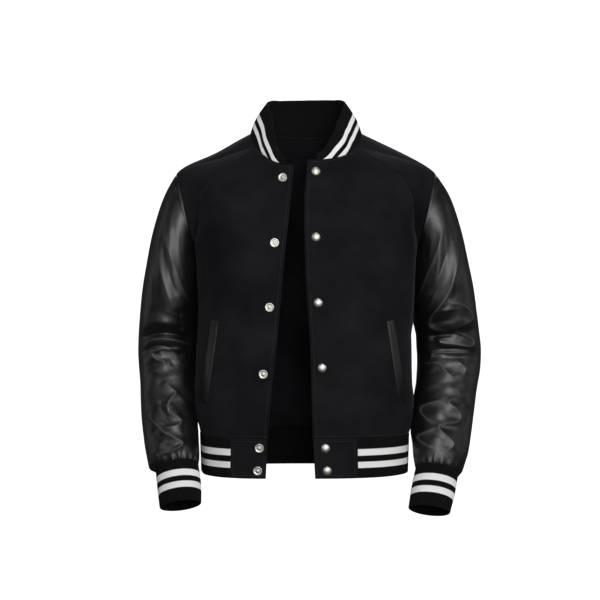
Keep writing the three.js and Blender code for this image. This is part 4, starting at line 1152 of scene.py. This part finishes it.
# Places on a surface, found behind a point seen from the front
def place_on(surface, start, nudge, limits, x, z):
    a = np.full(np.shape(x), float(start[0]))
    b = np.full(np.shape(x), float(start[1]))
    for _ in range(40):
        p = surface(a, b)
        pa = (surface(a + nudge[0], b) - p) / nudge[0]
        pb = (surface(a, b + nudge[1]) - p) / nudge[1]
        det = pa[..., 0] * pb[..., 2] - pa[..., 2] * pb[..., 0]
        dx, dz = x - p[..., 0], z - p[..., 2]
        a = np.clip(a + 0.7 * (dx * pb[..., 2] - dz * pb[..., 0]) / det, *limits[0])
        b = np.clip(b + 0.7 * (dz * pa[..., 0] - dx * pa[..., 2]) / det, *limits[1])
    p = surface(a, b)
    pa = surface(a + nudge[0], b) - p
    pb = surface(a, b + nudge[1]) - p
    normal = np.cross(pa, pb)
    normal /= np.linalg.norm(normal, axis=-1)[..., None]
    return p, normal * np.where(normal[..., 1] > 0, -1, 1)[..., None]


def on_front(side, x, z):
    return place_on(lambda v, u: front_points(side, v, u), (UNDERARM_ROW, 0.35), (0.02, 0.002),
                    ((0, HEM_ROW), (0, 1)), x, z)


# Lines through points, by distance along
def path_of(parts):
    line = np.concatenate(parts)
    step = np.linalg.norm(np.diff(line, axis=0), axis=1)
    line = line[np.concatenate([[True], step > 1e-6])]
    run = np.concatenate([[0], np.cumsum(np.linalg.norm(np.diff(line, axis=0), axis=1))])
    return run, line


def on_path(path, run):
    return points(*(np.interp(run, path[0], path[1][:, k]) for k in range(3)))


def edge_line(grid, normals, edge, distance, first=0.0, last=1.0):
    """Points and normals at a distance from one edge of a grid, between two shares of that edge."""
    if edge == "last":
        grid, normals = grid[:, ::-1], normals[:, ::-1]
    elif edge == "top":
        grid, normals = grid.transpose(1, 0, 2), normals.transpose(1, 0, 2)
    elif edge == "bottom":
        grid, normals = grid[::-1].transpose(1, 0, 2), normals[::-1].transpose(1, 0, 2)
    run = run_along(grid, 1) / MM
    count = len(grid)
    chosen = range(int(first * (count - 1)), int(last * (count - 1)) + 1)
    line = np.array([[np.interp(distance, run[i], grid[i, :, k]) for k in range(3)] for i in chosen])
    ways = np.array([[np.interp(distance, run[i], normals[i, :, k]) for k in range(3)] for i in chosen])
    return line, ways


# Sewing: each stitch is a short twisted lozenge of thread bedded in the cloth
STITCH_PITCH = 3.4
STITCH_LENGTH = 2.6
STITCH_RADIUS = 0.42
STITCH_LIFT = 0.12
STITCH_FLAT = 0.8
STITCH_DIP = 0.2
STITCH_SIDES = 6
stitches = {}


def sew(name, line, ways, radius=STITCH_RADIUS):
    """Bed a row of stitches along a line."""
    run, line = path_of([line])
    if len(line) != len(ways):
        ways = np.repeat(ways[:1], len(line), axis=0)
    at = np.arange(STITCH_PITCH / 2, run[-1], STITCH_PITCH)
    centre = on_path((run, line), at)
    ahead = on_path((run, line), at + 0.5) - on_path((run, line), at - 0.5)
    ahead /= np.maximum(np.linalg.norm(ahead, axis=1)[:, None], 1e-9)
    up = on_path((run, ways), at)
    up /= np.linalg.norm(up, axis=1)[:, None]
    side = np.cross(ahead, up)
    half = STITCH_LENGTH / 2
    vertices = [centre - ahead * half - up * STITCH_DIP]
    for place in (-0.55, 0.55):
        for k in range(STITCH_SIDES):
            angle = 2 * math.pi * k / STITCH_SIDES
            height = math.sin(angle) * radius * STITCH_FLAT + STITCH_LIFT
            vertices.append(centre + ahead * half * place + side * math.cos(angle) * radius + up * height)
    vertices.append(centre + ahead * half - up * STITCH_DIP)
    stitches.setdefault(name, []).append(np.stack(vertices, axis=1))


def finish_stitches(name):
    """One mesh of all the stitches sewn under a name: point, two rings, point."""
    bodies = np.concatenate(stitches[name])
    tip = 2 * STITCH_SIDES + 1
    faces = []
    for k in range(STITCH_SIDES):
        a, b = 1 + k, 1 + (k + 1) % STITCH_SIDES
        c, d = a + STITCH_SIDES, b + STITCH_SIDES
        faces += [[0, b, a], [a, b, d], [a, d, c], [c, d, tip]]
    first = bodies.shape[1] * np.arange(len(bodies))[:, None, None]
    faces = (np.array(faces)[None] + first).reshape(-1, 3)
    piece = make_mesh(name, bodies.reshape(-1, 3) * MM, faces, thread)
    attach(piece, "root")


# Rib-knit bands
RIB_PITCH = 2.4
RIB_RELIEF = 0.8
RIB_STEPS = 4
RIB_EDGE_ROWS = [0.965, 0.980, 0.990, 0.996, 1.0]
# The collar's stripes lie a little lower at the sides and back than at its front ends
STRIPE_DROP = 8
STRIPE_DROP_REACH = 0.14


def rib_band(name, node, length, row_count, ring, heart, point_at, stripes, from_top=False):
    """Knit band with raised ribs; its free edge is folded round."""
    steps = round(length / RIB_PITCH) * RIB_STEPS
    order = np.arange(steps if ring else steps + 1)
    share = order / steps
    depth = np.concatenate([np.linspace(0, 0.95, row_count), RIB_EDGE_ROWS])
    plain = point_at(share[None, :], depth[:, None])
    normals = outward(plain, grid_normals(plain, ring), heart)
    phase = order % RIB_STEPS / RIB_STEPS
    wander = 1 + 0.12 * np.sin(order * 0.19) * np.sin(order * 0.043 + 1)
    relief = RIB_RELIEF * np.sin(math.pi * phase) ** 0.8 * wander
    band_length = run_along(plain, 0)[-1] / MM
    to_edge = (1 - depth)[:, None] * band_length[None, :]
    fold = np.clip(1 - to_edge / (RIB_WALL / 2), 0, 1)
    tuck = (RIB_WALL / 2) * (1 - np.sqrt(1 - 0.98 * fold ** 2))
    outer = plain + normals * (relief[None, :] * (1 - 0.7 * fold) - tuck)[..., None]
    inner = plain - normals * (RIB_WALL - tuck)[..., None]
    material = knit_material("rib_knit_" + name, stripes)
    piece, _, _ = shell(name + "_knit", outer, ring, RIB_WALL, heart, material, (), inner)
    if from_top:
        run = run_along(plain, 0)
        lower = STRIPE_DROP * ease(np.minimum(share, 1 - share), 0, STRIPE_DROP_REACH)
        from_edge = (run[-1:] - run - lower[None, :] * MM).reshape(-1)
        values = np.concatenate([from_edge, from_edge]).astype(np.float32)
        piece.data.attributes["along"].data.foreach_set("value", values)
    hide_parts(node)


def stripe_ends(widths, total=None):
    """Start and end in metres of the pale stripes: every second width, from the first black."""
    scale = 1.0 if total is None else total / sum(widths)
    ends = np.cumsum(widths) * scale * MM
    return [(ends[0], ends[1]), (ends[2], ends[3])]


# Cuffs
CUFF_STRIPES = [20.5, 12.6, 10.6, 12, 22.7]
CUFF_AROUND = 240
CUFF_SEAM_STEP = 0.0045
CUFF_LAST_RING = 2
for side, sign in SIDES.items():
    def cuff_point(share, depth, side=side, sign=sign):
        ring = CUFF_SEAM_STEP + (CUFF_LAST_RING - CUFF_SEAM_STEP) * depth
        return ring_points(CUFF, side, ring, -360 * sign * share)

    total = run_along(cuff_point(np.zeros((1, 1)), np.linspace(0, 1, 30)[:, None]), 0)[-1, 0] / MM
    rib_band("cuff_" + side, "cuff_" + side, CUFF_AROUND, 26, True, limb_heart(CUFF, side), cuff_point,
             stripe_ends(CUFF_STRIPES, total))

# Hem
HEM_DRAW_IN = 0.012
HEM_FRONT_SLANT = 4.3
HEM_SLANT_REACH = 190
HEM_STRIPES = [20, 11.7, 10.9, 11, 18]
TAB_GAP = 0.15
hem_path = path_of([raw["front_left"][-1], raw["back"][-1][::-1], raw["front_right"][-1][::-1]])
hem_length = hem_path[0][-1]


def hem_point(run, depth):
    run, depth = np.broadcast_arrays(np.asarray(run, float), np.asarray(depth, float))
    point = on_path(hem_path, run)
    from_front = np.minimum(run, hem_length - run) / HEM_SLANT_REACH
    slant = HEM_FRONT_SLANT * np.maximum(0, 1 - from_front) * np.sign(hem_length / 2 - run)
    x = point[..., 0] * (1 - HEM_DRAW_IN * depth) + slant * depth
    y = point[..., 1] * (1 - HEM_DRAW_IN * depth)
    return points(x, y, HEM_SEAM_Z + SEAM_LAP + (HEM_BOTTOM_Z - HEM_SEAM_Z - SEAM_LAP) * depth)


hem_run = hem_length - TAB_WIDTH["left"] - TAB_WIDTH["right"] - 2 * TAB_GAP
rib_band("hem", "hem_rib", hem_run, 20, False, trunk_heart,
         lambda share, depth: hem_point(TAB_WIDTH["left"] + TAB_GAP + share * hem_run, depth),
         stripe_ends(HEM_STRIPES))

def dip(away, depth, reach):
    """Dent that is deepest where away is 0."""
    return depth * np.exp(-(away / reach) ** 2)


# Hem tabs of wool at the foot of each front
TAB_STITCH_IN = 6
TAB_PLY = 0.6
tab_surface = {}
for side, sign in SIDES.items():
    def tab_point(run, depth, sign=sign):
        return hem_point(np.where(sign > 0, run, hem_length - run), depth)

    tab_surface[side] = tab_point
    run = np.linspace(0, TAB_WIDTH[side], 49)
    depth = np.linspace(0, 1, 45)
    grid = tab_point(run[None, :], depth[:, None])
    normals = outward(grid, grid_normals(grid, False), trunk_heart)
    edge = np.minimum(np.minimum(run, TAB_WIDTH[side] - run)[None, :],
                      (HEM_SEAM_Z - HEM_BOTTOM_Z) * np.minimum(depth, 1 - depth)[:, None])
    sink = dip(edge, 0.9, 1.6) + dip(edge - TAB_STITCH_IN, 0.35, 1.4)
    cloth_piece("hem_tab_" + side, grid - normals * sink[..., None], False, TAB_WALL - TAB_PLY, trunk_heart,
                wool, ())

# Collar: share runs from the front corner of the neck to the centre back
COLLAR = table(["share", "outward", "back", "up"], [
    [0, 0, 2, 9],
    [0.05, 1, 3, 11],
    [0.11, -6, 6, 18],
    [0.19, -15, 11, 34],
    [0.27, -22, 12, 46],
    [0.34, -29, 14, 53],
    [0.42, -31, 13, 55],
    [0.52, -31, 9, 57],
    [0.62, -30, 5, 60],
    [0.72, -27, 0, 63],
    [0.82, -18, -5, 66],
    [0.91, -8, -9, 68],
    [1, 0, -11, 69],
])
COLLAR_BULGE = 4.7
COLLAR_BULGE_FROM_END = 0.3
COLLAR_START = 15
COLLAR_STRIPES = [16, 9.5, 8.6, 9]
neck_u = np.linspace(0, 1, 90)
neck_side = {}
for side in SIDES:
    v = np.linspace(0, 6, 60)[1:-1]
    neck_side[side] = np.concatenate([front_points(side, 0 * neck_u, neck_u), neck_crest(side, v)])
neck_path = path_of([neck_side["left"], raw["back"][0][::-1], neck_side["right"][::-1]])
neck_length = neck_path[0][-1]


def collar_point(share, height):
    share, height = np.broadcast_arrays(share, height)
    run = COLLAR_START + share * (neck_length - 2 * COLLAR_START)
    base = on_path(neck_path, run)
    on_left = run < neck_length / 2
    along = np.where(on_left, run, neck_length - run) / (neck_length / 2)
    place = np.interp(along, COLLAR["share"], np.arange(len(COLLAR["share"])))
    at = lambda name: column(COLLAR, name, place)
    lift = points(np.where(on_left, 1, -1) * at("outward"), at("back"), at("up"))
    way = lift / np.linalg.norm(lift, axis=-1)[..., None]
    base = base + lift * height[..., None] + way * (-SEAM_LAP * (1 - height[..., None]))
    away = points(base[..., 0], base[..., 1], 0 * height)
    away /= np.linalg.norm(away, axis=-1)[..., None]
    bulge = COLLAR_BULGE * np.sin(np.pi * height) * ease(along, 0, COLLAR_BULGE_FROM_END)
    return base + away * bulge[..., None]


rib_band("collar", "collar", neck_length - 2 * COLLAR_START, 22, False, trunk_heart, collar_point,
         stripe_ends(COLLAR_STRIPES),
         from_top=True)

# Pocket welts: narrow leather strips set at a slant, laid on the fronts
WELT_WIDTH = 16
WELT_LENGTH = 153
WELT_FORESHORTEN = 0.86
WELT_TILT = 0.35
WELT_WALL = 1.6
WELT_LIFT = 0.5
WELT_SUNK = 0.4
WELT_STITCH_IN = 2.6
WELT_BAR_IN = 8.5
WELT_ENDS = {"left": [(150, -337), (174, -488)], "right": [(-163, -336), (-184, -484)]}
for side, sign in SIDES.items():
    name = "pocket_welt_" + side
    (top_x, top_z), (foot_x, foot_z) = WELT_ENDS[side]
    f = np.linspace(0, 1, 121)[:, None]
    g = np.linspace(-0.5, 0.5, 17)[None, :]
    across = WELT_WIDTH * g * WELT_FORESHORTEN
    foot, normals = on_front(side, top_x + (foot_x - top_x) * f + across,
                             top_z + (foot_z - top_z) * f + WELT_TILT * across * sign)
    from_side = WELT_WIDTH * (0.5 - np.abs(g)) + 0 * f
    from_end = WELT_LENGTH * np.minimum(f, 1 - f) + 0 * g
    edge = np.minimum(from_side, from_end)
    lip = dip(g * WELT_WIDTH + 0.5, 0.5, 1.0) * ease(from_end, 8, 3)
    sink = dip(edge, 1.0, 1.1) + dip(edge - WELT_STITCH_IN, 0.4, 0.9) + lip
    top = foot + normals * (WELT_LIFT + WELT_WALL - sink)[..., None]
    under = foot + normals * (WELT_LIFT - WELT_SUNK)
    piece, _, _ = shell(name + "_leather", top, False, WELT_WALL, trunk_heart, leather, (), under)
    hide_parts(name)
    for strip in ("first", "last", "top", "bottom"):
        sew("stitch_welt_" + side, *edge_line(top, normals, strip, WELT_STITCH_IN, 0.03, 0.97))
    sew("stitch_welt_" + side, *edge_line(top, normals, "bottom", WELT_BAR_IN, 0.15, 0.85))
    finish_stitches("stitch_welt_" + side)

# Snaps
SNAP_PLACES = table(["cap", "capZ", "stud", "studZ"], [
    [17, -73, -42, -84],
    [17, -190, -56, -200],
    [21, -306, -65, -314],
    [28, -421, -76, -432],
    [34, -563, -83, -563],
    [37, -603, -86, -603],
])
SNAPS_ON_BODY = 4
SNAP_LIFT = 0.35
SNAP_SIDES = 64
TAB_EDGE_X = 15
# Profiles of the two halves of a snap: radius and height above the wool
CAP_PROFILE = [(0.0, -0.2), (7.3, -0.2), (8.0, 0.1), (8.0, 0.7), (7.75, 1.15), (7.2, 1.5), (6.5, 2.0),
               (5.5, 2.5), (4.2, 2.95), (2.6, 3.25), (1.2, 3.38), (0.0, 3.4)]
STUD_PROFILE = [(0.0, -0.2), (7.3, -0.2), (7.9, 0.1), (8.0, 0.6), (7.8, 1.1), (7.2, 1.32), (6.3, 1.25),
                (5.6, 0.95), (5.0, 0.7), (4.2, 0.6), (3.6, 0.62), (3.0, 0.75), (2.6, 1.0), (2.35, 1.5),
                (2.3, 2.0), (2.5, 2.5), (2.6, 2.8), (2.45, 3.1), (1.9, 3.28), (1.0, 3.34), (0.0, 3.35)]


def turned(name, profile, centre, axis):
    """Turned metal part, standing on its axis."""
    r, h = np.array(profile).T
    angle = np.linspace(0, 2 * np.pi, SNAP_SIDES, endpoint=False)
    flat_axis = np.cross(axis, [0, 0, 1.0])
    flat_axis /= np.linalg.norm(flat_axis)
    other = np.cross(axis, flat_axis)
    spoke = flat_axis * np.cos(angle)[:, None] + other * np.sin(angle)[:, None]
    rings = centre + spoke[None] * r[1:-1, None, None] + axis * h[1:-1, None, None]
    count = len(r) - 2
    vertices = np.concatenate([rings.reshape(-1, 3), [centre + axis * h[0]], [centre + axis * h[-1]]]) * MM
    faces = [list(face) for face in grid_faces(count, SNAP_SIDES, True, 0)]
    last, foot, top = (count - 1) * SNAP_SIDES, count * SNAP_SIDES, count * SNAP_SIDES + 1
    for k in range(SNAP_SIDES):
        m = (k + 1) % SNAP_SIDES
        faces += [[k, m, foot], [last + m, last + k, top]]
    piece = make_mesh(name, vertices, faces, plating)
    bm = bmesh.new()
    bm.from_mesh(piece.data)
    bmesh.ops.recalc_face_normals(bm, faces=bm.faces)
    bm.to_mesh(piece.data)
    bm.free()
    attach(piece, "root")
    return piece


for k in range(len(SNAP_PLACES["cap"])):
    for kind, side, profile in (("cap", "left", CAP_PROFILE), ("stud", "right", STUD_PROFILE)):
        x, z = np.array(SNAP_PLACES[kind][k]), np.array(SNAP_PLACES[kind + "Z"][k])
        if k < SNAPS_ON_BODY:
            foot, way = on_front(side, x, z)
        else:
            foot, way = place_on(tab_surface[side], (abs(x) - TAB_EDGE_X, 0.5), (0.5, 0.01),
                                 ((0, TAB_WIDTH[side]), (0, 1)), x, z)
        name = f"snap_{kind}_{k + 1}"
        piece = turned(name + "_metal", profile, foot + way * SNAP_LIFT, way)
        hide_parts(name)

# Topstitching along the front edges, the neck and the tabs: edge, distance in, first and last share
FRONT_STITCHING = [("first", 6, 0.012, 0.995), ("top", 5, 0.06, 0.96), ("bottom", 4, 0.01, 0.99)]
TAB_STITCHING = [(edge, TAB_STITCH_IN, 0.08, 0.92) for edge in ("first", "last", "top", "bottom")]
for side in SIDES:
    for node, stitching in (("front_" + side, FRONT_STITCHING), ("hem_tab_" + side, TAB_STITCHING)):
        for row in stitching:
            sew("stitch_front_" + side, *edge_line(*grids[node], *row))
    finish_stitches("stitch_front_" + side)

# Short stitched cross seam on the outer side of the left sleeve, just above the elbow
CROSS_SEAM_Z = -349
CROSS_SEAM_ANGLES = (12, 62)
CROSS_STITCH_RADIUS = 0.34
grid, normals = grids["sleeve_left"]
first_column, last_column = (round(angle / 360 * SLEEVE_COLUMNS) for angle in CROSS_SEAM_ANGLES)
across = slice(first_column, last_column + 1)
seam_row = int(np.median(np.argmin(np.abs(grid[:, across, 2] - CROSS_SEAM_Z), axis=0)))
sew("stitch_sleeve_left", grid[seam_row, across], normals[seam_row, across], CROSS_STITCH_RADIUS)
finish_stitches("stitch_sleeve_left")

# Camera at chest height, straight ahead, and a pale studio
CAMERA_PLACE = (-0.0111, -2.6, -0.301)
CAMERA_LENS = 84.3
SENSOR_WIDTH = 36
camera_data = bpy.data.cameras.new("camera")
camera = bpy.data.objects.new("camera", camera_data)
bpy.context.scene.collection.objects.link(camera)
camera.location = CAMERA_PLACE
camera.rotation_euler = (math.radians(90), 0, 0)
camera_data.sensor_width = SENSOR_WIDTH
camera_data.lens = CAMERA_LENS
bpy.context.scene.camera = camera


def studio_drum():
    """Pale floor that curves up all round into a plain wall, so that every side has the same ground."""
    floor_z, wall, bend, top, sides, middle = -1.45, 5.2, 1.6, 4.5, 96, 0.0001
    profile = [(middle, floor_z), (2.0, floor_z)]
    profile += [(wall - bend + bend * math.sin(a), floor_z + bend - bend * math.cos(a))
                for a in np.linspace(0, math.pi / 2, 20)]
    profile += [(wall, top), (wall - 1.5, top + 1.2), (middle, top + 1.6)]
    turn = np.linspace(0, 2 * math.pi, sides, endpoint=False)
    vertices = [(r * math.cos(t), r * math.sin(t), z) for r, z in profile for t in turn]
    faces = grid_faces(len(profile), sides, True, 0)
    material, shader = new_material("studio_wall")
    soft = noise(material, object_place(material), 1.5, 2.0)
    connect(material, shader, {
        "Base Color": blend_colours(material, soft, (0.88, 0.88, 0.88, 1), (0.92, 0.92, 0.92, 1)),
        "Roughness": 0.9, "Emission Color": (1, 1, 1, 1), "Emission Strength": 1.0,
    })
    drum = make_mesh("studio_drum", vertices, faces, material)
    # The wall's glow doesn't fall on the cloth, which only the lamps light
    drum.visible_diffuse = False
    drum.visible_glossy = False
    drum.visible_shadow = False
    return drum


studio_drum()


# Lamps aimed at the middle of the jacket: name, place, width, height and power
LAMPS = [
    ("key", (0.45, -2.5, 0.25), 1.5, 1.9, 62),
    ("fill_left", (-1.7, -2.0, 0.3), 0.8, 1.6, 8),
    ("fill_right", (2.1, -1.7, 0.3), 0.8, 1.6, 10),
    ("top", (0.1, -0.9, 1.9), 1.2, 0.8, 8),
    ("side_left", (-2.4, 0.5, 0.1), 0.3, 1.8, 3),
    ("side_right", (2.4, 0.5, 0.1), 0.3, 1.8, 3),
    ("back_light", (0, 2.4, 0.9), 1.6, 1.6, 40),
]
LAMP_TARGET = Vector((0, 0, -0.3))
for name, place, width, height, power in LAMPS:
    light = bpy.data.lights.new(name, "AREA")
    light.energy = power
    light.shape = "RECTANGLE"
    light.size, light.size_y = width, height
    lamp = bpy.data.objects.new(name, light)
    lamp.location = place
    lamp.rotation_euler = (LAMP_TARGET - Vector(place)).to_track_quat("-Z", "Y").to_euler()
    bpy.context.scene.collection.objects.link(lamp)

world = bpy.data.worlds.new("studio")
world.use_nodes = True
background = world.node_tree.nodes["Background"]
background.inputs["Color"].default_value = (1, 1, 1, 1)
background.inputs["Strength"].default_value = 0.05
bpy.context.scene.world = world
bpy.context.scene.view_settings.view_transform = "Standard"
